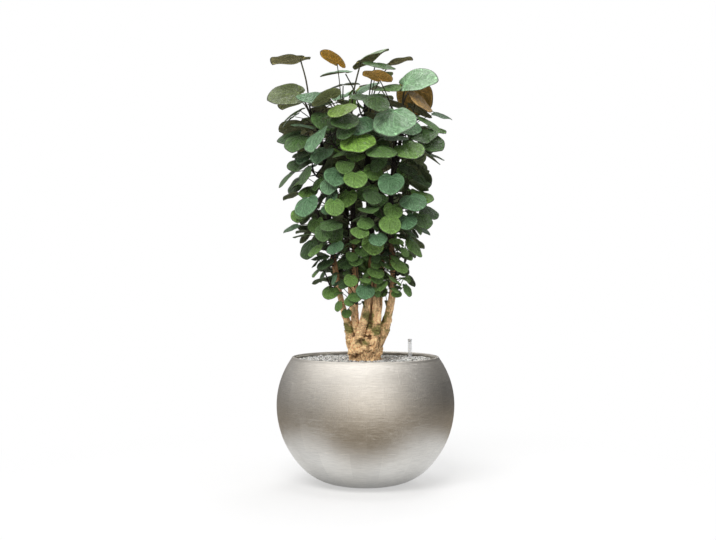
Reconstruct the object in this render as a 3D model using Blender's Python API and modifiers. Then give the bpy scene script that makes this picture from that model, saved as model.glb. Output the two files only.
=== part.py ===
"""Potted aralia: a round-leaved aralia on a corky stump, in a ball planter.

One named object for each separate piece, in metres, +Z up. The origin is the centre of the
planter's flat base. The leaves follow a growth rule: a few marked leaves first, then a spiral
up each stem, then side shoots, each one set only where it stays clear of its neighbours.
"""
import math
import random
from collections import namedtuple

import bmesh
import bpy
from mathutils import Matrix, Vector
from mathutils.bvhtree import BVHTree

# Planter
POT_RADIUS = 0.250
EQUATOR_Z = 0.222
SHOULDER_HEIGHT = 0.235
RIM_Z = 0.357
BASE_RADIUS = 0.066
WALL = 0.007
POT_STEPS = 36

# Planting medium
GRAVEL_Z = 0.344
GRAVEL_DEPTH = 0.018
SOIL_Z = GRAVEL_Z - GRAVEL_DEPTH
ROOT_RADIUS = 0.095
ROOT_DEPTH = 0.150
ROOT_CHAMFER = 0.020
CUTTER_LOW_Z = 0.300
CUTTER_TOP_Z = 0.500

# Water gauge
GAUGE_X = 0.130
GAUGE_Y = 0.100
GAUGE_FOOT_Z = 0.075
GAUGE_TOP_Z = 0.394
GAUGE_RADIUS = 0.006
GAUGE_BORE = 0.0042
GAUGE_STOP_BORE = 0.0020
GAUGE_STOP = 0.003
CAP_HEIGHT = 0.005
CAP_PLUG = 0.004
CAP_EDGE = 0.001
FLOAT_TRAVEL = 0.045
FLOAT_BODY = 0.040
FLOAT_MARK = 0.014
ROD_RADIUS = 0.0011
GAUGE_STEPS = 12

# Stump
STUMP_FOOT_RADIUS = 0.040
STUMP_WIDE_RADIUS = 0.056
STUMP_WIDE_Z = 0.400
STUMP_TOP_RADIUS = 0.044
STUMP_TOP_Z = 0.428
STUMP_COLLAR = 0.001
LIMB_TOP_Z = 0.455
JOINT_RUN = 0.006
STEM_POINTS = 10

SEAT_GAP = 0.0003
WELD = 0.00002
SHARP_ANGLE = 50

# Leaves: the widths, then how a blade and its stalk are shaped
SMALL_LEAF = 0.060
MEDIUM_LEAF = 0.080
LARGE_LEAF = 0.095
GREAT_LEAF = 0.115
WIDE_BLADE = 0.075
BLADE_THICKNESS = 0.0016
BLADE_DOME = 0.07
NOTCH = 0.35
STALK_RADIUS = 0.0015
STALK_END_RADIUS = 0.0006
HOLD = 0.15
TWIG_RADIUS = 0.0024
STALK_STUB = 0.007
STALK_BOW = 0.08
ROOT_LENGTH = 0.006
CLEARANCE = 0.0030
TRIES = 40

# Crown: an upright shape that widens from its foot, covered by leaves that face outwards
CROWN_X = -0.010
CROWN_FOOT_Z = 0.545
CROWN_WIDE_Z = 0.750
CROWN_TOP_Z = 1.060
CROWN_FOOT_REACH = 0.100
CROWN_REACH = 0.175
CROWN_FOOT_BLADE = 0.046
CROWN_TOP_BLADE = 0.092
GOLDEN_ANGLE = 137.5

# Leaves on the stems' tips, and shoots further down
SINGLE_LEAVES = 24
FIRST_LEAF_DROP = 0.012
LEAF_RING_STEP = 0.030
SHOOTS = 22
SHOOT_LEAVES = 9
SHOOT_SPREAD = 0.098
SHOOT_RISE = 0.050
SHOOT_SAG = 0.006
SHOOT_SEED = 5000
LOWEST_LEAF_Z = 0.530

# How freely a leaf is set: degrees, shares of a width, and metres
MARKED_SWING = 5
TIP_ROUNDS = 10
TIP_WANDER = 0.006
TIP_SWING = 30
TIP_STALKS = (0.045, 0.10)
TIP_RISES = (0, 60)
TIP_WIDTHS = (0.8, 1.1)
TIP_DROOPS = (0, 35)
TWIST = 20
SHOOT_WANDER = 0.006
SHOOT_WANDER_STEP = 0.0012
SHOOT_WIDTHS = (0.82, 1.15)
SHOOT_WIDTH_STEP = 0.006
SHOOT_HEADING = 24
LIGHT_AZIMUTH = 270
LIGHT_TURN = 42
LOW_DROOP = 52
DROOP_EASE = 20
DROOP_EASE_FROM_Z = 0.75
DROOP_EASE_TO_Z = 1.10
DROOP_SWING = 18
TWIG_DROP_STEP = 0.004
TWIG_SWING_STEP = 4

Leaf = namedtuple("Leaf", "stalk blade width")
Shoot = namedtuple("Shoot", "name twig leaves")

# Stems: name, radius at the foot and at the tip, and a route from inside the stump to the tip
STEM_ROUTES = [
    ("left", 0.012, 0.005, [(-0.015, 0.00, 0.39), (-0.050, 0.00, 0.45), (-0.080, -0.01, 0.57),
                            (-0.100, -0.02, 0.72), (-0.110, -0.01, 0.88), (-0.145, 0.00, 1.05)]),
    ("mid_left", 0.014, 0.005, [(-0.010, -0.01, 0.39), (-0.028, -0.02, 0.46), (-0.030, -0.03, 0.62),
                                (-0.040, -0.05, 0.84), (-0.060, -0.05, 1.04)]),
    ("centre", 0.022, 0.006, [(0.005, -0.01, 0.39), (0.016, -0.02, 0.46), (0.020, -0.02, 0.60),
                              (0.010, 0.00, 0.82), (0.000, 0.01, 1.07)]),
    ("right", 0.017, 0.005, [(0.020, 0.00, 0.39), (0.056, 0.00, 0.45), (0.078, -0.01, 0.56),
                             (0.070, -0.03, 0.76), (0.090, -0.03, 1.05)]),
    ("back_left", 0.013, 0.005, [(-0.010, 0.02, 0.39), (-0.030, 0.05, 0.46), (-0.050, 0.08, 0.64),
                                 (-0.060, 0.10, 0.84), (-0.070, 0.12, 1.02)]),
    ("back_right", 0.013, 0.005, [(0.015, 0.02, 0.39), (0.035, 0.05, 0.46), (0.050, 0.07, 0.64),
                                  (0.080, 0.08, 0.84), (0.110, 0.09, 1.03)]),
]

# Marked leaves: stem, share of its height, azimuth, stalk length, rise, blade width, droop, twist
MARKED_LEAVES = [
    ("right", 0.98, 350, 0.090, 85, GREAT_LEAF, -10, 40),
    ("right", 0.98, 265, 0.100, 0, GREAT_LEAF, 50, 5),
    ("left", 0.98, 190, 0.070, 65, GREAT_LEAF, 10, -40),
    ("left", 0.99, 170, 0.160, 80, GREAT_LEAF, 5, 0),
    ("right", 0.98, 40, 0.125, 55, GREAT_LEAF, 60, 0),
    ("mid_left", 0.90, 285, 0.080, 0, LARGE_LEAF, 40, 15),
    ("centre", 0.92, 260, 0.110, 10, LARGE_LEAF, 40, 0),
    ("mid_left", 0.99, 240, 0.135, 80, MEDIUM_LEAF, -28, -18),
    ("mid_left", 0.96, 200, 0.090, 55, LARGE_LEAF, 10, -25),
    ("left", 0.94, 285, 0.060, 30, MEDIUM_LEAF, 50, 0),
    ("left", 0.90, 190, 0.050, 20, MEDIUM_LEAF, 20, -30),
    ("mid_left", 0.96, 20, 0.170, 80, GREAT_LEAF, -25, -8),
    ("centre", 0.97, 195, 0.120, 70, LARGE_LEAF, 10, -10),
    ("centre", 0.97, 330, 0.080, 55, MEDIUM_LEAF, 10, 20),
    ("right", 0.92, 340, 0.070, 10, MEDIUM_LEAF, 35, 35),
    ("back_right", 0.95, 345, 0.060, 20, MEDIUM_LEAF, 15, 10),
    ("back_right", 0.86, 335, 0.085, 5, SMALL_LEAF, 25, 0),
]

# Plain colours, and how rough each surface is
METAL = (0.66, 0.63, 0.58)
METAL_ROUGHNESS = 0.32
SOIL = (0.10, 0.07, 0.05)
ROOTS = (0.16, 0.11, 0.07)
EARTH_ROUGHNESS = 0.95
STONE = (0.66, 0.66, 0.64)
STONE_ROUGHNESS = 0.8
CLEAR = (0.82, 0.84, 0.85)
CLEAR_ROUGHNESS = 0.15
CAP_WHITE = (0.80, 0.82, 0.83)
FLOAT_RED = (0.70, 0.10, 0.08)
PLASTIC_ROUGHNESS = 0.4
CORK = (0.62, 0.45, 0.28)
STEM_BROWN = (0.22, 0.16, 0.10)
BARK_ROUGHNESS = 0.9
GREEN = (0.07, 0.16, 0.07)
LEAF_ROUGHNESS = 0.4


# Directions and routes

def direction(azimuth, elevation=0.0):
    """Unit vector; azimuth 0 is +X and 90 is +Y, in degrees."""
    turn = math.radians(azimuth)
    lift = math.radians(elevation)
    return Vector((math.cos(lift) * math.cos(turn), math.cos(lift) * math.sin(turn), math.sin(lift)))


def along(route, share):
    """Point at a share of a smooth curve through the route's points (Catmull-Rom)."""
    points = [Vector(point) for point in route]
    place = min(max(share, 0.0), 0.99999) * (len(points) - 1)
    i = int(place)
    t = place - i
    b = points[i]
    c = points[i + 1]
    a = points[i - 1] if i > 0 else b * 2 - c
    d = points[i + 2] if i + 2 < len(points) else c * 2 - b
    return 0.5 * (b * 2 + (c - a) * t + (a * 2 - b * 5 + c * 4 - d) * t ** 2
                  + (b * 3 - a - c * 3 + d) * t ** 3)


class Stem:
    """A limb of the stump and the stem that goes on from it, with flat ends that face each other."""

    def __init__(self, name, foot_radius, tip_radius, route):
        self.name = name
        self.foot_radius = foot_radius
        self.tip_radius = tip_radius
        self.route = route
        share = self.share_at(LIMB_TOP_Z)
        joint = along(route, share)
        ahead = (along(route, share + 0.01) - along(route, share - 0.01)).normalized()
        radius = self.radius(share)
        self.limb = self.run(0.0, share, 4)[:-1]
        self.limb += [(joint - ahead * JOINT_RUN, radius), (joint, radius)]
        self.line = [(joint + ahead * SEAT_GAP, radius), (joint + ahead * JOINT_RUN, radius)]
        self.line += self.run(share, 1.0, STEM_POINTS)[1:]

    def share_at(self, z):
        """The share of the route at a height, by halving; every route only climbs."""
        low = 0.0
        high = 1.0
        for _ in range(20):
            middle = (low + high) / 2
            if along(self.route, middle).z < z:
                low = middle
            else:
                high = middle
        return low

    def radius(self, share):
        return self.foot_radius + (self.tip_radius - self.foot_radius) * share ** 0.7

    def run(self, first, last, count):
        shares = [first + (last - first) * i / (count - 1) for i in range(count)]
        return [(along(self.route, share), self.radius(share)) for share in shares]

    def at(self, z):
        """Centre, radius and direction of the stem at a height."""
        for (low, low_radius), (high, high_radius) in zip(self.line, self.line[1:]):
            if z < high.z:
                break
        share = min(max((z - low.z) / (high.z - low.z), 0.0), 1.0)
        radius = low_radius + (high_radius - low_radius) * share
        return low.lerp(high, share), radius, (high - low).normalized()

    def sprout(self, z, azimuth):
        """Where a stalk leaves the bark, and the square way out there."""
        centre, radius, ahead = self.at(z)
        out = direction(azimuth)
        out = (out - ahead * out.dot(ahead)).normalized()
        return centre + out * (radius + SEAT_GAP), out


def smooth_share(value, low, high):
    """0 below low, 1 above high, and a smooth climb between them."""
    share = min(max((value - low) / (high - low), 0.0), 1.0)
    return share * share * (3 - 2 * share)


def crown_point(azimuth, z, inset=0.0):
    """A point on the crown's outside, or a little inside it."""
    widening = smooth_share(z, CROWN_FOOT_Z, CROWN_WIDE_Z)
    reach = CROWN_FOOT_REACH + (CROWN_REACH - CROWN_FOOT_REACH) * widening - inset
    return Vector((CROWN_X, 0, z)) + direction(azimuth) * reach


def blade_width(z):
    growth = min(max((z - CROWN_FOOT_Z) / (CROWN_TOP_Z - CROWN_FOOT_Z), 0.0), 1.0)
    return CROWN_FOOT_BLADE + (CROWN_TOP_BLADE - CROWN_FOOT_BLADE) * growth


# Leaves as plain data

def grow_leaf(stalk, tip, azimuth, width, droop, twist):
    """A round blade at the end of a stalk, held just inside its notch, and facing out and up."""
    heading = direction(azimuth)
    up = Vector((0, 0, 1))
    lean = math.radians(droop)
    midrib = heading * math.cos(lean) - up * math.sin(lean)
    normal = heading * math.sin(lean) + up * math.cos(lean)
    normal = Matrix.Rotation(math.radians(twist), 3, midrib) @ normal
    side = midrib.cross(normal)
    centre = tip + midrib * (width / 2 * (1 - NOTCH)) + normal * blade_sag(width)
    blade = Matrix((side, midrib, normal)).transposed().to_4x4()
    blade.translation = centre
    return Leaf(stalk + [tip.lerp(centre, HOLD)], blade, width)


def rim_points(leaf, margin):
    """The blade's outline, in its own plane, with the notch at the stalk."""
    reach = leaf.width / 2
    count = 8 if leaf.width > WIDE_BLADE else 6
    points = []
    for i in range(count):
        turn = 2 * math.pi * i / count
        radius = reach * (1 - NOTCH) if i == count // 2 else reach
        points.append(Vector((-math.sin(turn), math.cos(turn), 0)) * (radius + margin))
    return points


def blade_sag(width):
    return width * BLADE_DOME


# Keeping pieces clear of each other

class Hull:
    """A closed shape as a search tree, with its box for a quick first look."""

    def __init__(self, points, faces):
        self.tree = BVHTree.FromPolygons(points, faces)
        self.low = [min(point[axis] for point in points) for axis in range(3)]
        self.high = [max(point[axis] for point in points) for axis in range(3)]

    def touches(self, other):
        for axis in range(3):
            if self.low[axis] > other.high[axis] or other.low[axis] > self.high[axis]:
                return False
        return bool(self.tree.overlap(other.tree))


def blade_tree(leaf):
    """A search tree of the blade with half of the clearance on every side."""
    margin = CLEARANCE / 2
    half = BLADE_THICKNESS / 2 + margin
    sag = blade_sag(leaf.width)
    rim = rim_points(leaf, margin)
    count = len(rim)
    points = [Vector((0, 0, half)), Vector((0, 0, -half))]
    points += [point + Vector((0, 0, half - sag)) for point in rim]
    points += [point + Vector((0, 0, -half - sag)) for point in rim]
    faces = []
    for i in range(count):
        j = (i + 1) % count
        top, next_top, low, next_low = 2 + i, 2 + j, 2 + count + i, 2 + count + j
        faces += [(0, top, next_top), (1, next_low, low), (top, low, next_low), (top, next_low, next_top)]
    return Hull([leaf.blade @ point for point in points], faces)


def tube_tree(points, radii):
    """A search tree of a square tube with half of the clearance around it."""
    corners = []
    faces = []
    for i, point in enumerate(points):
        ahead = points[min(i + 1, len(points) - 1)] - points[max(i - 1, 0)]
        side = ahead.orthogonal().normalized()
        other = ahead.cross(side).normalized()
        reach = radii[i] + CLEARANCE
        corners += [point + side * reach, point + other * reach, point - side * reach, point - other * reach]
        if i:
            for k in range(4):
                n = (k + 1) % 4
                faces.append((4 * i - 4 + k, 4 * i - 4 + n, 4 * i + n, 4 * i + k))
    return Hull(corners, faces)


def stalk_tree(leaf, root_length=0.0):
    """A search tree of the stalk, with or without a length at its root."""
    start = leaf.stalk[0]
    root = start + (leaf.stalk[1] - start).normalized() * root_length
    run = [root] + leaf.stalk[1:]
    return tube_tree(run, [STALK_RADIUS] * len(run))


class Crown:
    """Everything that has grown so far, as search trees, each with the piece that owns it."""

    def __init__(self, stems):
        self.stems = stems
        self.taken = []
        for stem in stems:
            points, radii = zip(*(stem.limb + stem.line[1:]))
            self.taken.append((stem.name, tube_tree(points, radii)))

    def is_clear(self, tree, allowed=()):
        return not any(owner not in allowed and tree.touches(other) for owner, other in self.taken)

    def fits(self, leaf, carrier):
        """A blade touches nothing; a stalk touches what carries it, and its sisters at their roots."""
        sisters = carrier + " stalks"
        return (self.is_clear(blade_tree(leaf))
                and self.is_clear(stalk_tree(leaf), (carrier, sisters))
                and self.is_clear(stalk_tree(leaf, ROOT_LENGTH), (carrier,)))

    def take_leaf(self, leaf, stalk_owner="leaf"):
        self.taken.append(("leaf", blade_tree(leaf)))
        self.taken.append((stalk_owner, stalk_tree(leaf)))


def heading_to(start, end):
    return math.degrees(math.atan2(end.y - start.y, end.x - start.x))


def single_leaf(stem, z, azimuth, stalk_length, rise, width, droop, twist):
    """A leaf on the stem itself: a stub square to the bark, then the stalk."""
    start, out = stem.sprout(z, azimuth)
    sprout = start + out * STALK_STUB
    tip = sprout + direction(azimuth, rise) * stalk_length
    middle = sprout.lerp(tip, 0.5) + Vector((0, 0, stalk_length * STALK_BOW))
    return grow_leaf([start, sprout, middle], tip, azimuth, width, droop, twist)


def grow_marked(crown):
    stems = {stem.name: stem for stem in crown.stems}
    leaves = []
    for name, share, azimuth, stalk_length, rise, width, droop, twist in MARKED_LEAVES:
        z = along(stems[name].route, share).z
        for attempt in range(TRIES):
            swing = azimuth + MARKED_SWING * attempt * (-1) ** attempt
            leaf = single_leaf(stems[name], z, swing, stalk_length, rise, width, droop, twist)
            if crown.fits(leaf, name):
                crown.take_leaf(leaf)
                leaves.append(leaf)
                break
    return leaves


def grow_spiral(crown, count):
    """More single leaves around the tips of the stems, by the golden angle."""
    leaves = []
    n = 0
    while len(leaves) < count and n < TIP_ROUNDS * len(crown.stems):
        stem = crown.stems[n % len(crown.stems)]
        chance = random.Random(n)
        for attempt in range(TRIES):
            drop = FIRST_LEAF_DROP + LEAF_RING_STEP * (n // len(crown.stems))
            z = stem.line[-1][0].z - drop + chance.uniform(-TIP_WANDER, TIP_WANDER)
            azimuth = GOLDEN_ANGLE * n + chance.uniform(-TIP_SWING, TIP_SWING)
            leaf = single_leaf(stem, z, azimuth, chance.uniform(*TIP_STALKS), chance.uniform(*TIP_RISES),
                               LARGE_LEAF * chance.uniform(*TIP_WIDTHS), chance.uniform(*TIP_DROOPS),
                               chance.uniform(-TWIST, TWIST))
            if crown.fits(leaf, stem.name):
                crown.take_leaf(leaf)
                leaves.append(leaf)
                break
        n += 1
    return leaves


def shoot_leaf(crown, place, owner, azimuth, z, chance):
    """A leaf of a shoot on the crown's outside, turned a little to the light, or None if none fits."""
    for attempt in range(TRIES):
        wander = SHOOT_WANDER + SHOOT_WANDER_STEP * attempt
        target = crown_point(azimuth, z + chance.uniform(-wander, wander), chance.uniform(0, 3 * wander))
        target += direction(azimuth + 90) * chance.uniform(-wander, wander)
        droop = LOW_DROOP - DROOP_EASE * smooth_share(z, DROOP_EASE_FROM_Z, DROOP_EASE_TO_Z)
        droop += chance.uniform(-DROOP_SWING, DROOP_SWING)
        width = blade_width(z) * chance.uniform(*SHOOT_WIDTHS) * (1 - SHOOT_WIDTH_STEP * attempt)
        heading = azimuth + LIGHT_TURN * math.sin(math.radians(LIGHT_AZIMUTH - azimuth))
        heading += chance.uniform(-SHOOT_HEADING, SHOOT_HEADING)
        leaf = grow_leaf([place], target, heading, width, droop, chance.uniform(-TWIST, TWIST))
        if crown.fits(leaf, owner):
            return leaf
    return None


def grow_shoot(crown, number):
    """A twig that leads from a stem towards the crown's outside and opens into a patch of leaves."""
    z = CROWN_FOOT_Z + (CROWN_TOP_Z - CROWN_FOOT_Z) * (number + 0.5) / SHOOTS
    azimuth = GOLDEN_ANGLE * number - 90
    owner = f"shoot_{number:02d}"
    chance = random.Random(SHOOT_SEED + number)
    centre = crown_point(azimuth, z)
    for attempt in range(TRIES):
        root_z = z - SHOOT_RISE - TWIG_DROP_STEP * attempt
        stem = min(crown.stems, key=lambda one: (one.at(root_z)[0] - centre).length)
        swing = TWIG_SWING_STEP * attempt * (-1) ** attempt
        start, out = stem.sprout(root_z, heading_to(stem.at(root_z)[0], centre) + swing)
        sprout = start + out * STALK_STUB
        end = sprout.lerp(centre, 0.5)
        twig = [start, sprout, sprout.lerp(end, 0.5) - Vector((0, 0, SHOOT_SAG)), end]
        tree = tube_tree(twig, [TWIG_RADIUS] * 4)
        if crown.is_clear(tree, (stem.name,)):
            break
    else:
        return None
    crown.taken.append((owner, tree))
    leaves = []
    for n in range(SHOOT_LEAVES):
        spread = SHOOT_SPREAD * math.sqrt((n + 0.3) / SHOOT_LEAVES)
        turn = math.radians(GOLDEN_ANGLE * n)
        swing = math.degrees(spread * math.cos(turn) / CROWN_REACH)
        place = twig[-2].lerp(twig[-1], (n + 0.5) / SHOOT_LEAVES)
        height = max(z + spread * math.sin(turn), LOWEST_LEAF_Z)
        leaf = shoot_leaf(crown, place, owner, azimuth + swing, height, chance)
        if leaf:
            crown.take_leaf(leaf, owner + " stalks")
            leaves.append(leaf)
    return Shoot(owner, twig, leaves)


# Blender helpers

def new_collection(name):
    collection = bpy.data.collections.new(name)
    bpy.context.scene.collection.children.link(collection)
    return collection


def give_material(obj, colour, roughness, metallic=0.0):
    material = bpy.data.materials.new(obj.name)
    material.use_nodes = True
    shader = material.node_tree.nodes["Principled BSDF"]
    shader.inputs["Base Color"].default_value = (*colour, 1.0)
    shader.inputs["Roughness"].default_value = roughness
    shader.inputs["Metallic"].default_value = metallic
    obj.data.materials.clear()
    obj.data.materials.append(material)


def new_object(name, mesh, collection):
    obj = bpy.data.objects.new(name, mesh)
    collection.objects.link(obj)
    return obj


def turned(name, profile, steps, collection, place=(0.0, 0.0, 0.0)):
    """A profile of (radius, height) points, turned about its own vertical axis."""
    mesh = bpy.data.meshes.new(name)
    edges = [(i, i + 1) for i in range(len(profile) - 1)]
    mesh.from_pydata([(radius, 0.0, z) for radius, z in profile], edges, [])
    obj = new_object(name, mesh, collection)
    obj.location = place
    screw = obj.modifiers.new("Turn", "SCREW")
    screw.steps = steps
    screw.render_steps = steps
    screw.use_merge_vertices = True
    screw.merge_threshold = WELD
    screw.use_smooth_shade = True
    return obj


def tubes(name, routes, collection, bevel_resolution=0):
    """Round tubes along routes of (point, radius), made one mesh with closed ends."""
    curve = bpy.data.curves.new(name, "CURVE")
    curve.dimensions = "3D"
    curve.bevel_depth = 1.0
    curve.bevel_resolution = bevel_resolution
    curve.use_fill_caps = True
    for route in routes:
        spline = curve.splines.new("POLY")
        spline.points.add(len(route) - 1)
        for point, (place, radius) in zip(spline.points, route):
            point.co = (*place, 1.0)
            point.radius = radius
    guide = new_object(name + "_guide", curve, collection)
    bpy.context.view_layer.update()
    depsgraph = bpy.context.evaluated_depsgraph_get()
    mesh = bpy.data.meshes.new_from_object(guide.evaluated_get(depsgraph))
    weld = bmesh.new()
    weld.from_mesh(mesh)
    bmesh.ops.remove_doubles(weld, verts=weld.verts, dist=WELD)
    bmesh.ops.recalc_face_normals(weld, faces=weld.faces)
    weld.to_mesh(mesh)
    weld.free()
    bpy.data.objects.remove(guide)
    mesh.shade_smooth()
    mesh.set_sharp_from_angle(angle=math.radians(SHARP_ANGLE))
    return new_object(name, mesh, collection)


def boolean(obj, other, operation, use_self=False):
    other.hide_render = True
    other.display_type = "WIRE"
    modifier = obj.modifiers.new(operation.title(), "BOOLEAN")
    modifier.operation = operation
    modifier.solver = "EXACT"
    modifier.use_self = use_self
    modifier.object = other


# Planter and what fills it

def base_fillet():
    """Radius of the arc that runs from the flat base into the sphere, tangent to both."""
    drop = POT_RADIUS - EQUATOR_Z
    return (POT_RADIUS + EQUATOR_Z - BASE_RADIUS ** 2 / drop) / 2


def wall_radius(z, inset):
    """Radius of the wall above the equator."""
    rise = (z - EQUATOR_Z) / (SHOULDER_HEIGHT - inset)
    return (POT_RADIUS - inset) * math.sqrt(1 - rise ** 2)


def wall_curve(inset, top):
    """Outline from a level above the equator down to the middle of the floor."""
    fillet = base_fillet()
    meet = math.atan2(EQUATOR_Z - fillet, BASE_RADIUS)
    middle = (EQUATOR_Z + SOIL_Z) / 2
    levels = [z for z in (RIM_Z - WALL / 2, GRAVEL_Z, SOIL_Z, middle) if z <= top + 1e-9]
    points = [(wall_radius(z, inset), z) for z in levels]
    reach = POT_RADIUS - inset
    for i in range(5):
        turn = meet * i / 4
        points.append((reach * math.cos(turn), EQUATOR_Z - reach * math.sin(turn)))
    reach = fillet - inset
    for i in range(1, 4):
        turn = meet + (math.pi / 2 - meet) * i / 3
        points.append((BASE_RADIUS + reach * math.cos(turn), fillet - reach * math.sin(turn)))
    points.append((0.0, inset))
    return points


def make_planter(parts):
    outside = wall_curve(0.0, RIM_Z)
    inside = wall_curve(WALL, RIM_Z)
    lip_z = RIM_Z - WALL / 2
    middle = (outside[0][0] + inside[0][0]) / 2
    half = (outside[0][0] - inside[0][0]) / 2
    lip = []
    for i in range(1, 4):
        turn = math.pi * (1 - i / 4)
        lip.append((middle + half * math.cos(turn), lip_z + WALL / 2 * math.sin(turn)))
    planter = turned("planter", inside[::-1] + lip + outside, POT_STEPS, parts)
    give_material(planter, METAL, METAL_ROUGHNESS, 1.0)


def gauge_hole(name, bottom, cutters):
    radius = GAUGE_RADIUS + SEAT_GAP
    profile = [(0.0, CUTTER_TOP_Z), (radius, CUTTER_TOP_Z), (radius, bottom), (0.0, bottom)]
    return turned(name, profile, GAUGE_STEPS, cutters, (GAUGE_X, GAUGE_Y, 0.0))


def make_filling(parts, cutters):
    socket_floor = SOIL_Z - ROOT_DEPTH
    socket = ROOT_RADIUS + SEAT_GAP
    shell = wall_curve(WALL + SEAT_GAP, SOIL_Z)
    profile = [(0.0, socket_floor - SEAT_GAP), (socket, socket_floor - SEAT_GAP), (socket, SOIL_Z)] + shell
    substrate = turned("substrate", profile, POT_STEPS, parts)
    give_material(substrate, SOIL, EARTH_ROUGHNESS)
    boolean(substrate, gauge_hole("substrate_hole", GAUGE_FOOT_Z - SEAT_GAP, cutters), "DIFFERENCE")

    root_profile = [(0.0, SOIL_Z), (ROOT_RADIUS, SOIL_Z), (ROOT_RADIUS, socket_floor + ROOT_CHAMFER),
                    (ROOT_RADIUS - ROOT_CHAMFER, socket_floor), (0.0, socket_floor)]
    give_material(turned("root_ball", root_profile, POT_STEPS, parts), ROOTS, EARTH_ROUGHNESS)

    low = SOIL_Z + SEAT_GAP
    slope = (wall_radius(GRAVEL_Z, WALL) - wall_radius(SOIL_Z, WALL)) / GRAVEL_DEPTH
    inner = STUMP_FOOT_RADIUS + SEAT_GAP
    outer_top = wall_radius(GRAVEL_Z, WALL) - 2 * SEAT_GAP
    outer_low = outer_top - slope * (GRAVEL_DEPTH - SEAT_GAP)
    ring = [(inner, low), (inner, GRAVEL_Z), (outer_top, GRAVEL_Z), (outer_low, low), (inner, low)]
    gravel = turned("top_gravel", ring, POT_STEPS, parts)
    give_material(gravel, STONE, STONE_ROUGHNESS)
    boolean(gravel, gauge_hole("gravel_hole", CUTTER_LOW_Z, cutters), "DIFFERENCE")


def make_gauge(parts):
    place = (GAUGE_X, GAUGE_Y, 0.0)
    stop_z = GAUGE_FOOT_Z + GAUGE_STOP
    tube = [(GAUGE_STOP_BORE, GAUGE_FOOT_Z), (GAUGE_STOP_BORE, stop_z), (GAUGE_BORE, stop_z),
            (GAUGE_BORE, GAUGE_TOP_Z), (GAUGE_RADIUS, GAUGE_TOP_Z), (GAUGE_RADIUS, GAUGE_FOOT_Z),
            (GAUGE_STOP_BORE, GAUGE_FOOT_Z)]
    give_material(turned("gauge_tube", tube, GAUGE_STEPS, parts, place), CLEAR, CLEAR_ROUGHNESS)

    cap_z = GAUGE_TOP_Z + SEAT_GAP
    plug = GAUGE_BORE - SEAT_GAP
    plug_z = cap_z - CAP_PLUG
    cap = [(0.0, cap_z + CAP_HEIGHT), (GAUGE_RADIUS - CAP_EDGE, cap_z + CAP_HEIGHT),
           (GAUGE_RADIUS, cap_z + CAP_HEIGHT - CAP_EDGE), (GAUGE_RADIUS, cap_z), (plug, cap_z),
           (plug, plug_z), (0.0, plug_z)]
    give_material(turned("gauge_cap", cap, GAUGE_STEPS, parts, place), CAP_WHITE, PLASTIC_ROUGHNESS)

    low = stop_z + SEAT_GAP
    top = plug_z - FLOAT_TRAVEL - 2 * SEAT_GAP
    body = GAUGE_BORE - 2 * SEAT_GAP
    float_profile = [(0.0, top), (body, top), (body, top - FLOAT_MARK), (ROD_RADIUS, top - FLOAT_MARK),
                     (ROD_RADIUS, low + FLOAT_BODY), (body, low + FLOAT_BODY), (body, low), (0.0, low)]
    floater = turned("gauge_float", float_profile, GAUGE_STEPS, parts, place)
    give_material(floater, FLOAT_RED, PLASTIC_ROUGHNESS)


# Stump and stems

def make_wood(stems, parts, cutters):
    body = [(0.0, STUMP_TOP_Z), (STUMP_TOP_RADIUS, STUMP_TOP_Z), (STUMP_WIDE_RADIUS, STUMP_WIDE_Z),
            (STUMP_FOOT_RADIUS, GRAVEL_Z + STUMP_COLLAR), (STUMP_FOOT_RADIUS, SOIL_Z + SEAT_GAP),
            (0.0, SOIL_Z + SEAT_GAP)]
    stump = turned("stump", body, POT_STEPS, parts)
    give_material(stump, CORK, BARK_ROUGHNESS)
    limbs = tubes("stump_limbs", [stem.limb for stem in stems], cutters, 3)
    boolean(stump, limbs, "UNION", True)
    for stem in stems:
        tube = tubes(f"stem_{stem.name}", [stem.line], parts, 3)
        give_material(tube, STEM_BROWN, BARK_ROUGHNESS)


# Leaves

def blade_mesh(name, leaves):
    """Open fans, one for each blade; each is domed a little, and notched at the stalk."""
    surface = bmesh.new()
    for leaf in leaves:
        outline = rim_points(leaf, 0.0)
        fan = bmesh.ops.create_circle(surface, cap_ends=True, cap_tris=True,
                                      segments=len(outline), radius=1.0)
        rim = [vert for vert in fan["verts"] if vert.co.length > 0.5]
        middle = [vert for vert in fan["verts"] if vert.co.length <= 0.5]
        for vert, point in zip(rim, outline):
            vert.co = leaf.blade @ (point - Vector((0, 0, blade_sag(leaf.width))))
        for vert in middle:
            vert.co = leaf.blade.translation
    mesh = bpy.data.meshes.new(name)
    surface.to_mesh(mesh)
    surface.free()
    return mesh


def make_leafy(name, twigs, leaves, parts, cutters):
    """Twigs, stalks and blades grown together as one solid."""
    routes = list(twigs)
    for leaf in leaves:
        radii = [STALK_RADIUS] * (len(leaf.stalk) - 1) + [STALK_END_RADIUS]
        routes.append(list(zip(leaf.stalk, radii)))
    obj = tubes(name, routes, parts)
    blades = new_object(name + "_blades", blade_mesh(name + "_blades", leaves), cutters)
    shell = blades.modifiers.new("Thickness", "SOLIDIFY")
    shell.thickness = BLADE_THICKNESS
    shell.offset = 0.0
    boolean(obj, blades, "UNION", True)
    give_material(obj, GREEN, LEAF_ROUGHNESS)


def make_foliage(stems, parts, cutters):
    crown = Crown(stems)
    single = grow_marked(crown)
    single += grow_spiral(crown, SINGLE_LEAVES - len(single))
    for number, leaf in enumerate(single):
        make_leafy(f"leaf_{number:02d}", [], [leaf], parts, cutters)
    for number in range(SHOOTS):
        shoot = grow_shoot(crown, number)
        if shoot:
            twig = [(point, TWIG_RADIUS) for point in shoot.twig]
            make_leafy(shoot.name, [twig], shoot.leaves, parts, cutters)


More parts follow.
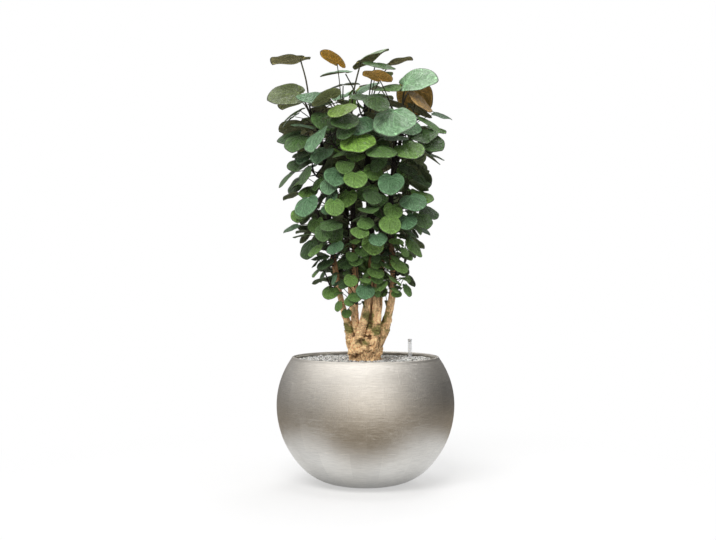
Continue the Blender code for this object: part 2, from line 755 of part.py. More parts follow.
def main():
    for obj in list(bpy.data.objects):
        bpy.data.objects.remove(obj)
    parts = new_collection("potted_aralia")
    cutters = new_collection("cutters")
    make_planter(parts)
    make_filling(parts, cutters)
    make_gauge(parts)
    stems = [Stem(*row) for row in STEM_ROUTES]
    make_wood(stems, parts, cutters)
    make_foliage(stems, parts, cutters)


main()
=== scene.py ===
"""Potted aralia: the finish of every surface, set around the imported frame.

The growth rule is the same as the model's, so each fine leaf lies where its plain solid lies. More
leaves are then set at the crown's top, at its foot and inside it, where there is room. Metres, +Z up,
the front is -Y.
"""
import math
import random
from collections import namedtuple

import bmesh
import bpy
import numpy as np
from mathutils import Matrix, Vector, noise
from mathutils.bvhtree import BVHTree
from mathutils.kdtree import KDTree


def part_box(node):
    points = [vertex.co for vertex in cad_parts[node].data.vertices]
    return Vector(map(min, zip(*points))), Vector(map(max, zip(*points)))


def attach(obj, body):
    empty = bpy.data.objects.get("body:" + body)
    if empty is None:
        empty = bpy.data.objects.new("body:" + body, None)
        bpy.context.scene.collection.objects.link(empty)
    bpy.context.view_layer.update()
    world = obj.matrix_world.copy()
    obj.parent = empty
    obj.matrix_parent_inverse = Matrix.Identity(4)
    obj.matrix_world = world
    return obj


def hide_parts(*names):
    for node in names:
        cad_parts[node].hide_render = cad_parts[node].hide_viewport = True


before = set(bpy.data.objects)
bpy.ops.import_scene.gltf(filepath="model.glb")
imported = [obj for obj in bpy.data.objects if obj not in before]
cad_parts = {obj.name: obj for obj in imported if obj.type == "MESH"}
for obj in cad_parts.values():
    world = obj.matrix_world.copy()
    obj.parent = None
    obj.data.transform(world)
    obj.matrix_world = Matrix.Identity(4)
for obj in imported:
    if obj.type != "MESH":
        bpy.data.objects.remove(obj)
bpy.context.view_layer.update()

# Planter
POT_RADIUS = 0.250
EQUATOR_Z = 0.222
SHOULDER_HEIGHT = 0.235
RIM_Z = 0.357
BASE_RADIUS = 0.066
WALL = 0.007
POT_STEPS = 144
LEAF_METAL_WRAP = 16
LEAF_METAL_ROW = 0.092

# Gravel: the stones' grid, sizes, heights and greys
GRAVEL_Z = 0.344
GRAVEL_FROM = 0.036
GRAVEL_REACH = 0.2015
GRAVEL_SEED = 11
GAUGE_MARGIN = 0.002
STONE_PITCH = 0.0049
ROW_SHARE = 0.866
STONE_JITTER = 0.0009
STONE_SIZE = 0.0032
STONE_SIZES = (0.75, 1.25)
STONE_SQUASH = (0.7, 1.2)
STONE_CHIP = 0.16
STONE_SINK = 0.0004
STONE_HEIGHTS = (-0.0012, 0.0018)
STONE_GREYS = (0.78, 0.52, 0.26, 0.09, 0.95)
GREY_SHARES = (0.30, 0.22, 0.16, 0.12, 0.20)
MOUND_HEIGHT = 0.0012
MOUND_SCALE = 28

# Water gauge
GAUGE_X = 0.130
GAUGE_Y = 0.100
GAUGE_RADIUS = 0.006
GAUGE_BORE = 0.0042
ROD_RADIUS = 0.0011
FLOAT_BODY = 0.040
FLOAT_MARK = 0.014
TUBE_EDGE = 0.0004
CAP_EDGE = 0.0016
FLOAT_EDGE = 0.0006
GAUGE_STEPS = 48

# Stump and stems
LIMB_TOP_Z = 0.455
JOINT_RUN = 0.006
STEM_POINTS = 10
SEAT_GAP = 0.0003

# Leaves: the widths, then how a blade and its stalk are shaped
SMALL_LEAF = 0.060
MEDIUM_LEAF = 0.080
LARGE_LEAF = 0.095
GREAT_LEAF = 0.115
WIDE_BLADE = 0.075
BLADE_THICKNESS = 0.0016
BLADE_DOME = 0.07
NOTCH = 0.35
STALK_RADIUS = 0.0015
HOLD = 0.15
TWIG_RADIUS = 0.0024
STALK_STUB = 0.007
STALK_BOW = 0.08
ROOT_LENGTH = 0.006
CLEARANCE = 0.0030
TRIES = 40

# Crown: an upright shape that widens from its foot, covered by leaves that face outwards
CROWN_X = -0.010
CROWN_FOOT_Z = 0.545
CROWN_WIDE_Z = 0.750
CROWN_TOP_Z = 1.060
CROWN_FOOT_REACH = 0.100
CROWN_REACH = 0.175
CROWN_FOOT_BLADE = 0.046
CROWN_TOP_BLADE = 0.092
GOLDEN_ANGLE = 137.5

# Leaves on the stems' tips, and shoots further down
SINGLE_LEAVES = 24
FIRST_LEAF_DROP = 0.012
LEAF_RING_STEP = 0.030
SHOOTS = 22
SHOOT_LEAVES = 9
SHOOT_SPREAD = 0.098
SHOOT_RISE = 0.050
SHOOT_SAG = 0.006
SHOOT_SEED = 5000
LOWEST_LEAF_Z = 0.530

# How freely a leaf is set: degrees, shares of a width, and metres
MARKED_SWING = 5
TIP_ROUNDS = 10
TIP_WANDER = 0.006
TIP_SWING = 30
TIP_STALKS = (0.045, 0.10)
TIP_RISES = (0, 60)
TIP_WIDTHS = (0.8, 1.1)
TIP_DROOPS = (0, 35)
TWIST = 20
SHOOT_WANDER = 0.006
SHOOT_WANDER_STEP = 0.0012
SHOOT_WIDTHS = (0.82, 1.15)
SHOOT_WIDTH_STEP = 0.006
SHOOT_HEADING = 24
LIGHT_AZIMUTH = 270
LIGHT_TURN = 42
LOW_DROOP = 52
DROOP_EASE = 20
DROOP_EASE_FROM_Z = 0.75
DROOP_EASE_TO_Z = 1.10
DROOP_SWING = 18
TWIG_DROP_STEP = 0.004
TWIG_SWING_STEP = 4

Leaf = namedtuple("Leaf", "stalk blade width")
Shoot = namedtuple("Shoot", "name twig leaves")

# Stems: name, radius at the foot and at the tip, and a route from inside the stump to the tip
STEM_ROUTES = [
    ("left", 0.012, 0.005, [(-0.015, 0.00, 0.39), (-0.050, 0.00, 0.45), (-0.080, -0.01, 0.57),
                            (-0.100, -0.02, 0.72), (-0.110, -0.01, 0.88), (-0.145, 0.00, 1.05)]),
    ("mid_left", 0.014, 0.005, [(-0.010, -0.01, 0.39), (-0.028, -0.02, 0.46), (-0.030, -0.03, 0.62),
                                (-0.040, -0.05, 0.84), (-0.060, -0.05, 1.04)]),
    ("centre", 0.022, 0.006, [(0.005, -0.01, 0.39), (0.016, -0.02, 0.46), (0.020, -0.02, 0.60),
                              (0.010, 0.00, 0.82), (0.000, 0.01, 1.07)]),
    ("right", 0.017, 0.005, [(0.020, 0.00, 0.39), (0.056, 0.00, 0.45), (0.078, -0.01, 0.56),
                             (0.070, -0.03, 0.76), (0.090, -0.03, 1.05)]),
    ("back_left", 0.013, 0.005, [(-0.010, 0.02, 0.39), (-0.030, 0.05, 0.46), (-0.050, 0.08, 0.64),
                                 (-0.060, 0.10, 0.84), (-0.070, 0.12, 1.02)]),
    ("back_right", 0.013, 0.005, [(0.015, 0.02, 0.39), (0.035, 0.05, 0.46), (0.050, 0.07, 0.64),
                                  (0.080, 0.08, 0.84), (0.110, 0.09, 1.03)]),
]

# Marked leaves: stem, share of its height, azimuth, stalk length, rise, blade width, droop, twist
MARKED_LEAVES = [
    ("right", 0.98, 350, 0.090, 85, GREAT_LEAF, -10, 40),
    ("right", 0.98, 265, 0.100, 0, GREAT_LEAF, 50, 5),
    ("left", 0.98, 190, 0.070, 65, GREAT_LEAF, 10, -40),
    ("left", 0.99, 170, 0.160, 80, GREAT_LEAF, 5, 0),
    ("right", 0.98, 40, 0.125, 55, GREAT_LEAF, 60, 0),
    ("mid_left", 0.90, 285, 0.080, 0, LARGE_LEAF, 40, 15),
    ("centre", 0.92, 260, 0.110, 10, LARGE_LEAF, 40, 0),
    ("mid_left", 0.99, 240, 0.135, 80, MEDIUM_LEAF, -28, -18),
    ("mid_left", 0.96, 200, 0.090, 55, LARGE_LEAF, 10, -25),
    ("left", 0.94, 285, 0.060, 30, MEDIUM_LEAF, 50, 0),
    ("left", 0.90, 190, 0.050, 20, MEDIUM_LEAF, 20, -30),
    ("mid_left", 0.96, 20, 0.170, 80, GREAT_LEAF, -25, -8),
    ("centre", 0.97, 195, 0.120, 70, LARGE_LEAF, 10, -10),
    ("centre", 0.97, 330, 0.080, 55, MEDIUM_LEAF, 10, 20),
    ("right", 0.92, 340, 0.070, 10, MEDIUM_LEAF, 35, 35),
    ("back_right", 0.95, 345, 0.060, 20, MEDIUM_LEAF, 15, 10),
    ("back_right", 0.86, 335, 0.085, 5, SMALL_LEAF, 25, 0),
]


# Directions and routes

def direction(azimuth, elevation=0.0):
    """Unit vector; azimuth 0 is +X and 90 is +Y, in degrees."""
    turn = math.radians(azimuth)
    lift = math.radians(elevation)
    return Vector((math.cos(lift) * math.cos(turn), math.cos(lift) * math.sin(turn), math.sin(lift)))


def along(route, share):
    """Point at a share of a smooth curve through the route's points (Catmull-Rom)."""
    points = [Vector(point) for point in route]
    place = min(max(share, 0.0), 0.99999) * (len(points) - 1)
    i = int(place)
    t = place - i
    b = points[i]
    c = points[i + 1]
    a = points[i - 1] if i > 0 else b * 2 - c
    d = points[i + 2] if i + 2 < len(points) else c * 2 - b
    return 0.5 * (b * 2 + (c - a) * t + (a * 2 - b * 5 + c * 4 - d) * t ** 2
                  + (b * 3 - a - c * 3 + d) * t ** 3)


class Stem:
    """A limb of the stump and the stem that goes on from it, with flat ends that face each other."""

    def __init__(self, name, foot_radius, tip_radius, route):
        self.name = name
        self.foot_radius = foot_radius
        self.tip_radius = tip_radius
        self.route = route
        share = self.share_at(LIMB_TOP_Z)
        joint = along(route, share)
        ahead = (along(route, share + 0.01) - along(route, share - 0.01)).normalized()
        radius = self.radius(share)
        self.limb = self.run(0.0, share, 4)[:-1]
        self.limb += [(joint - ahead * JOINT_RUN, radius), (joint, radius)]
        self.line = [(joint + ahead * SEAT_GAP, radius), (joint + ahead * JOINT_RUN, radius)]
        self.line += self.run(share, 1.0, STEM_POINTS)[1:]

    def share_at(self, z):
        """The share of the route at a height, by halving; every route only climbs."""
        low = 0.0
        high = 1.0
        for _ in range(20):
            middle = (low + high) / 2
            if along(self.route, middle).z < z:
                low = middle
            else:
                high = middle
        return low

    def radius(self, share):
        return self.foot_radius + (self.tip_radius - self.foot_radius) * share ** 0.7

    def run(self, first, last, count):
        shares = [first + (last - first) * i / (count - 1) for i in range(count)]
        return [(along(self.route, share), self.radius(share)) for share in shares]

    def at(self, z):
        """Centre, radius and direction of the stem at a height."""
        for (low, low_radius), (high, high_radius) in zip(self.line, self.line[1:]):
            if z < high.z:
                break
        share = min(max((z - low.z) / (high.z - low.z), 0.0), 1.0)
        radius = low_radius + (high_radius - low_radius) * share
        return low.lerp(high, share), radius, (high - low).normalized()

    def sprout(self, z, azimuth):
        """Where a stalk leaves the bark, and the square way out there."""
        centre, radius, ahead = self.at(z)
        out = direction(azimuth)
        out = (out - ahead * out.dot(ahead)).normalized()
        return centre + out * (radius + SEAT_GAP), out


def smooth_share(value, low, high):
    """0 below low, 1 above high, and a smooth climb between them."""
    share = min(max((value - low) / (high - low), 0.0), 1.0)
    return share * share * (3 - 2 * share)


def crown_point(azimuth, z, inset=0.0):
    """A point on the crown's outside, or a little inside it."""
    widening = smooth_share(z, CROWN_FOOT_Z, CROWN_WIDE_Z)
    reach = CROWN_FOOT_REACH + (CROWN_REACH - CROWN_FOOT_REACH) * widening - inset
    return Vector((CROWN_X, 0, z)) + direction(azimuth) * reach


def blade_width(z):
    growth = min(max((z - CROWN_FOOT_Z) / (CROWN_TOP_Z - CROWN_FOOT_Z), 0.0), 1.0)
    return CROWN_FOOT_BLADE + (CROWN_TOP_BLADE - CROWN_FOOT_BLADE) * growth


# Leaves as plain data

def grow_leaf(stalk, tip, azimuth, width, droop, twist):
    """A round blade at the end of a stalk, held just inside its notch, and facing out and up."""
    heading = direction(azimuth)
    up = Vector((0, 0, 1))
    lean = math.radians(droop)
    midrib = heading * math.cos(lean) - up * math.sin(lean)
    normal = heading * math.sin(lean) + up * math.cos(lean)
    normal = Matrix.Rotation(math.radians(twist), 3, midrib) @ normal
    side = midrib.cross(normal)
    centre = tip + midrib * (width / 2 * (1 - NOTCH)) + normal * blade_sag(width)
    blade = Matrix((side, midrib, normal)).transposed().to_4x4()
    blade.translation = centre
    return Leaf(stalk + [tip.lerp(centre, HOLD)], blade, width)


def rim_points(leaf, margin):
    """The blade's outline, in its own plane, with the notch at the stalk."""
    reach = leaf.width / 2
    count = 8 if leaf.width > WIDE_BLADE else 6
    points = []
    for i in range(count):
        turn = 2 * math.pi * i / count
        radius = reach * (1 - NOTCH) if i == count // 2 else reach
        points.append(Vector((-math.sin(turn), math.cos(turn), 0)) * (radius + margin))
    return points


def blade_sag(width):
    return width * BLADE_DOME


# Keeping pieces clear of each other

class Hull:
    """A closed shape as a search tree, with its box for a quick first look."""

    def __init__(self, points, faces):
        self.tree = BVHTree.FromPolygons(points, faces)
        self.low = [min(point[axis] for point in points) for axis in range(3)]
        self.high = [max(point[axis] for point in points) for axis in range(3)]

    def touches(self, other):
        for axis in range(3):
            if self.low[axis] > other.high[axis] or other.low[axis] > self.high[axis]:
                return False
        return bool(self.tree.overlap(other.tree))


def blade_tree(leaf):
    """A search tree of the blade with half of the clearance on every side."""
    margin = CLEARANCE / 2
    half = BLADE_THICKNESS / 2 + margin
    sag = blade_sag(leaf.width)
    rim = rim_points(leaf, margin)
    count = len(rim)
    points = [Vector((0, 0, half)), Vector((0, 0, -half))]
    points += [point + Vector((0, 0, half - sag)) for point in rim]
    points += [point + Vector((0, 0, -half - sag)) for point in rim]
    faces = []
    for i in range(count):
        j = (i + 1) % count
        top, next_top, low, next_low = 2 + i, 2 + j, 2 + count + i, 2 + count + j
        faces += [(0, top, next_top), (1, next_low, low), (top, low, next_low), (top, next_low, next_top)]
    return Hull([leaf.blade @ point for point in points], faces)


def tube_tree(points, radii):
    """A search tree of a square tube with half of the clearance around it."""
    corners = []
    faces = []
    for i, point in enumerate(points):
        ahead = points[min(i + 1, len(points) - 1)] - points[max(i - 1, 0)]
        side = ahead.orthogonal().normalized()
        other = ahead.cross(side).normalized()
        reach = radii[i] + CLEARANCE
        corners += [point + side * reach, point + other * reach, point - side * reach, point - other * reach]
        if i:
            for k in range(4):
                n = (k + 1) % 4
                faces.append((4 * i - 4 + k, 4 * i - 4 + n, 4 * i + n, 4 * i + k))
    return Hull(corners, faces)


def stalk_tree(leaf, root_length=0.0):
    """A search tree of the stalk, with or without a length at its root."""
    start = leaf.stalk[0]
    root = start + (leaf.stalk[1] - start).normalized() * root_length
    run = [root] + leaf.stalk[1:]
    return tube_tree(run, [STALK_RADIUS] * len(run))


class Crown:
    """Everything that has grown so far, as search trees, each with the piece that owns it."""

    def __init__(self, stems):
        self.stems = stems
        self.taken = []
        for stem in stems:
            points, radii = zip(*(stem.limb + stem.line[1:]))
            self.taken.append((stem.name, tube_tree(points, radii)))

    def is_clear(self, tree, allowed=()):
        return not any(owner not in allowed and tree.touches(other) for owner, other in self.taken)

    def fits(self, leaf, carrier):
        """A blade touches nothing; a stalk touches what carries it, and its sisters at their roots."""
        sisters = carrier + " stalks"
        return (self.is_clear(blade_tree(leaf))
                and self.is_clear(stalk_tree(leaf), (carrier, sisters))
                and self.is_clear(stalk_tree(leaf, ROOT_LENGTH), (carrier,)))

    def take_leaf(self, leaf, stalk_owner="leaf"):
        self.taken.append(("leaf", blade_tree(leaf)))
        self.taken.append((stalk_owner, stalk_tree(leaf)))


def heading_to(start, end):
    return math.degrees(math.atan2(end.y - start.y, end.x - start.x))


def single_leaf(stem, z, azimuth, stalk_length, rise, width, droop, twist):
    """A leaf on the stem itself: a stub square to the bark, then the stalk."""
    start, out = stem.sprout(z, azimuth)
    sprout = start + out * STALK_STUB
    tip = sprout + direction(azimuth, rise) * stalk_length
    middle = sprout.lerp(tip, 0.5) + Vector((0, 0, stalk_length * STALK_BOW))
    return grow_leaf([start, sprout, middle], tip, azimuth, width, droop, twist)


def grow_marked(crown):
    stems = {stem.name: stem for stem in crown.stems}
    leaves = []
    for name, share, azimuth, stalk_length, rise, width, droop, twist in MARKED_LEAVES:
        z = along(stems[name].route, share).z
        for attempt in range(TRIES):
            swing = azimuth + MARKED_SWING * attempt * (-1) ** attempt
            leaf = single_leaf(stems[name], z, swing, stalk_length, rise, width, droop, twist)
            if crown.fits(leaf, name):
                crown.take_leaf(leaf)
                leaves.append(leaf)
                break
    return leaves


def grow_spiral(crown, count):
    """More single leaves around the tips of the stems, by the golden angle."""
    leaves = []
    n = 0
    while len(leaves) < count and n < TIP_ROUNDS * len(crown.stems):
        stem = crown.stems[n % len(crown.stems)]
        chance = random.Random(n)
        for attempt in range(TRIES):
            drop = FIRST_LEAF_DROP + LEAF_RING_STEP * (n // len(crown.stems))
            z = stem.line[-1][0].z - drop + chance.uniform(-TIP_WANDER, TIP_WANDER)
            azimuth = GOLDEN_ANGLE * n + chance.uniform(-TIP_SWING, TIP_SWING)
            leaf = single_leaf(stem, z, azimuth, chance.uniform(*TIP_STALKS), chance.uniform(*TIP_RISES),
                               LARGE_LEAF * chance.uniform(*TIP_WIDTHS), chance.uniform(*TIP_DROOPS),
                               chance.uniform(-TWIST, TWIST))
            if crown.fits(leaf, stem.name):
                crown.take_leaf(leaf)
                leaves.append(leaf)
                break
        n += 1
    return leaves


def shoot_leaf(crown, place, owner, azimuth, z, chance):
    """A leaf of a shoot on the crown's outside, turned a little to the light, or None if none fits."""
    for attempt in range(TRIES):
        wander = SHOOT_WANDER + SHOOT_WANDER_STEP * attempt
        target = crown_point(azimuth, z + chance.uniform(-wander, wander), chance.uniform(0, 3 * wander))
        target += direction(azimuth + 90) * chance.uniform(-wander, wander)
        droop = LOW_DROOP - DROOP_EASE * smooth_share(z, DROOP_EASE_FROM_Z, DROOP_EASE_TO_Z)
        droop += chance.uniform(-DROOP_SWING, DROOP_SWING)
        width = blade_width(z) * chance.uniform(*SHOOT_WIDTHS) * (1 - SHOOT_WIDTH_STEP * attempt)
        heading = azimuth + LIGHT_TURN * math.sin(math.radians(LIGHT_AZIMUTH - azimuth))
        heading += chance.uniform(-SHOOT_HEADING, SHOOT_HEADING)
        leaf = grow_leaf([place], target, heading, width, droop, chance.uniform(-TWIST, TWIST))
        if crown.fits(leaf, owner):
            return leaf
    return None


def grow_shoot(crown, number):
    """A twig that leads from a stem towards the crown's outside and opens into a patch of leaves."""
    z = CROWN_FOOT_Z + (CROWN_TOP_Z - CROWN_FOOT_Z) * (number + 0.5) / SHOOTS
    azimuth = GOLDEN_ANGLE * number - 90
    owner = f"shoot_{number:02d}"
    chance = random.Random(SHOOT_SEED + number)
    centre = crown_point(azimuth, z)
    for attempt in range(TRIES):
        root_z = z - SHOOT_RISE - TWIG_DROP_STEP * attempt
        stem = min(crown.stems, key=lambda one: (one.at(root_z)[0] - centre).length)
        swing = TWIG_SWING_STEP * attempt * (-1) ** attempt
        start, out = stem.sprout(root_z, heading_to(stem.at(root_z)[0], centre) + swing)
        sprout = start + out * STALK_STUB
        end = sprout.lerp(centre, 0.5)
        twig = [start, sprout, sprout.lerp(end, 0.5) - Vector((0, 0, SHOOT_SAG)), end]
        tree = tube_tree(twig, [TWIG_RADIUS] * 4)
        if crown.is_clear(tree, (stem.name,)):
            break
    else:
        return None
    crown.taken.append((owner, tree))
    leaves = []
    for n in range(SHOOT_LEAVES):
        spread = SHOOT_SPREAD * math.sqrt((n + 0.3) / SHOOT_LEAVES)
        turn = math.radians(GOLDEN_ANGLE * n)
        swing = math.degrees(spread * math.cos(turn) / CROWN_REACH)
        place = twig[-2].lerp(twig[-1], (n + 0.5) / SHOOT_LEAVES)
        height = max(z + spread * math.sin(turn), LOWEST_LEAF_Z)
        leaf = shoot_leaf(crown, place, owner, azimuth + swing, height, chance)
        if leaf:
            crown.take_leaf(leaf, owner + " stalks")
            leaves.append(leaf)
    return Shoot(owner, twig, leaves)


# More leaves: a tuft, and leaves at the top, low at the front, and inside the crown

SIDE_LIMIT = 0.262
TUFT_LEAVES = 26
TUFT_SEED = 8000
TUFT_DROPS = (0.002, 0.030)
TOP_LEAVES = 28
TOP_SEED = 6400
TOP_DROPS = (0.0, 0.09)
TOP_LIMIT_Z = 1.205
LOW_LEAVES = 160
LOW_SEED = 7000
LOW_STEMS = ("centre", "right", "mid_left", "centre", "back_right", "mid_left")
LOW_FROM_Z = 0.530
MID_LEFT_FROM_Z = 0.505
LOW_CLIMB = 0.16
INNER_LEAVES = 540
INNER_SEED = 9000
INNER_TRIES = 14
INNER_HEIGHTS = (CROWN_FOOT_Z + 0.02, CROWN_TOP_Z - 0.045)
INNER_STALK_GROWTH = 0.065

# What a leaf of each kind is drawn from; an inner leaf's width is a share of the crown's at its height
Habit = namedtuple("Habit", "azimuths stalks rises widths droops twists")
TUFT_HABIT = Habit((120, 420), (0.020, 0.075), (50, 88), (0.018, 0.032), (-60, 70), (-40, 40))
TOP_HABIT = Habit((0, 360), (0.07, 0.15), (35, 80), (MEDIUM_LEAF, LARGE_LEAF), (-22, 22), (-30, 30))
LOW_HABIT = Habit((190, 350), (0.008, 0.060), (5, 60), (0.024, 0.044), (15, 75), (-25, 25))
INNER_HABIT = Habit((0, 360), (0.015, 0.035), (0, 60), (0.70, 1.05), (5, 65), (-25, 25))


def stays_near(leaf):
    """True if the blade keeps about within the planter's width."""
    place = leaf.blade.translation
    return max(abs(place.x), abs(place.y)) + leaf.width / 2 < SIDE_LIMIT


def grow_extra(crown, shape, count, seed, tries):
    """Leaves set by chance where there is room; shape gives a stem and a leaf for each number."""
    grown = []
    for n in range(count):
        chance = random.Random(seed + n)
        for _ in range(tries):
            stem, leaf = shape(crown.stems, n, chance)
            if stays_near(leaf) and crown.fits(leaf, stem.name):
                crown.take_leaf(leaf)
                grown.append((stem.name, leaf))
                break
    return grown


def drawn_leaf(stem, z, habit, chance, longest=1.0):
    """A stem and a leaf on it, drawn in the habit's order; a single number there is taken as it is."""
    azimuth, stalk, rise, width, droop, twist = (
        chance.uniform(*span) if isinstance(span, tuple) else span for span in habit)
    return stem, single_leaf(stem, z, azimuth, min(stalk, longest), rise, width, droop, twist)


def stem_named(stems, name):
    return next(stem for stem in stems if stem.name == name)


def tuft_leaf(stems, n, chance):
    """A leaf that is only just unfolding, in a tuft on a stem's tip."""
    stem = stem_named(stems, "mid_left")
    return drawn_leaf(stem, stem.line[-1][0].z - chance.uniform(*TUFT_DROPS), TUFT_HABIT, chance)


def top_leaf(stems, n, chance):
    """A large leaf on a long stalk, held almost flat over the crown."""
    stem = stems[n % len(stems)]
    z = stem.line[-1][0].z - chance.uniform(*TOP_DROPS)
    rise = chance.uniform(*TOP_HABIT.rises)
    longest = (TOP_LIMIT_Z - z) / math.sin(math.radians(rise))
    return drawn_leaf(stem, z, TOP_HABIT._replace(rises=rise), chance, longest)


def low_leaf(stems, n, chance):
    """A small fresh leaf on a short stalk, at the front of the crown's foot."""
    stem = stem_named(stems, LOW_STEMS[n % len(LOW_STEMS)])
    foot = MID_LEFT_FROM_Z if stem.name == "mid_left" else LOW_FROM_Z
    return drawn_leaf(stem, foot + LOW_CLIMB * chance.random(), LOW_HABIT, chance)


def inner_leaf(stems, n, chance):
    """A leaf that helps to fill the crown's inside."""
    z = chance.uniform(*INNER_HEIGHTS)
    width = blade_width(z) * chance.uniform(*INNER_HABIT.widths)
    shortest, longest = INNER_HABIT.stalks
    longest += INNER_STALK_GROWTH * smooth_share(z, CROWN_FOOT_Z, CROWN_WIDE_Z)
    habit = INNER_HABIT._replace(stalks=(shortest, longest), widths=width)
    return drawn_leaf(stems[n % len(stems)], z, habit, chance)


# Colours

def colour(red, green, blue):
    """A colour given as it shows on a screen, 0 to 255, in the renderer's own scale."""
    return tuple(((c / 255 + 0.055) / 1.055) ** 2.4 if c > 10 else c / 3294.6 for c in (red, green, blue))


def blend(first, second, share):
    return tuple(a + (b - a) * share for a, b in zip(first, second))


DEEP = colour(50, 72, 42)
BLUE_GREEN = colour(82, 118, 82)
MID = colour(88, 122, 62)
# Pale grey green that stands for painted sheen on a waxy leaf
PALE_SHEEN = colour(122, 156, 118)
FRESH = colour(104, 138, 66)
LIME = colour(112, 150, 62)
YOUNG = colour(170, 180, 74)
BROWN = colour(128, 104, 66)
TAN = colour(150, 124, 80)
OLIVE = colour(112, 118, 76)
MOSS = colour(76, 92, 50)
# Golden orange: a bronze leaf's own colour, brightened as painted light shining through it
ORANGE = colour(190, 138, 44)
CAP_WHITE = colour(236, 239, 241)
FLOAT_RED = colour(188, 40, 32)

# Leaves whose colour stands out: the piece or kind and the leaf's number in it, then top and underside
TINTS = {
    ("leaf_00", 0): (PALE_SHEEN, OLIVE),
    ("leaf_01", 0): (blend(PALE_SHEEN, BLUE_GREEN, 0.35), OLIVE),
    ("leaf_02", 0): (blend(OLIVE, DEEP, 0.5), OLIVE),
    ("leaf_04", 0): (MID, blend(TAN, ORANGE, 0.35)),
    ("leaf_05", 0): (LIME, OLIVE),
    ("leaf_07", 0): (ORANGE, ORANGE),
    ("leaf_08", 0): (BLUE_GREEN, OLIVE),
    ("leaf_11", 0): (blend(PALE_SHEEN, OLIVE, 0.5), blend(OLIVE, BROWN, 0.5)),
    ("shoot_19", 5): (blend(TAN, ORANGE, 0.15), BROWN),
    ("shoot_21", 1): (blend(MID, YOUNG, 0.18), OLIVE),
    ("top_leaves", 2): (PALE_SHEEN, blend(ORANGE, BROWN, 0.45)),
}
TUFT_TINTS = (YOUNG, LIME)

# Leaf colours by chance: the share of fresh greens at the crown's foot and what it loses by the top,
# the share of dark greens among the rest, how far the blue greens are paled by painted sheen, more towards
# the top, and how brown an underside
FRESH_SHARE = 0.70
FRESH_LOSS = 0.60
DARK_SHARE = 0.6
SHEEN_SHARES = (0.1, 0.5)
BROWN_SHARE = 0.60


def leaf_tints(z, chance, shade=0.0):
    """The colours of a leaf's top and underside, by its height in the crown and by chance, darkened by a
    share of painted shade.
    """
    climb = smooth_share(z, CROWN_FOOT_Z, CROWN_TOP_Z)
    if chance.random() < FRESH_SHARE - FRESH_LOSS * climb:
        top = blend(FRESH, MID, chance.random())
    elif chance.random() < DARK_SHARE:
        top = blend(MID, DEEP, chance.random())
    else:
        # Blue greens paled by painted sheen, more towards the crown's top
        top = blend(BLUE_GREEN, PALE_SHEEN, chance.random() * (SHEEN_SHARES[0] + SHEEN_SHARES[1] * climb))
    under = blend(blend(MOSS, OLIVE, climb), BROWN, BROWN_SHARE * chance.random() * climb)
    # A leaf deep in the crown is darkened towards deep green: painted shade
    return blend(top, DEEP, shade), blend(under, DEEP, shade)


# Node trees

class Value:
    """What a node gives, with arithmetic that adds more nodes."""

    def __init__(self, look, socket):
        self.look = look
        self.socket = socket

    def __add__(self, other):
        return self.look.math("ADD", self, other)

    def __sub__(self, other):
        return self.look.math("SUBTRACT", self, other)

    def __rsub__(self, other):
        return self.look.math("SUBTRACT", other, self)

    def __mul__(self, other):
        return self.look.math("MULTIPLY", self, other)


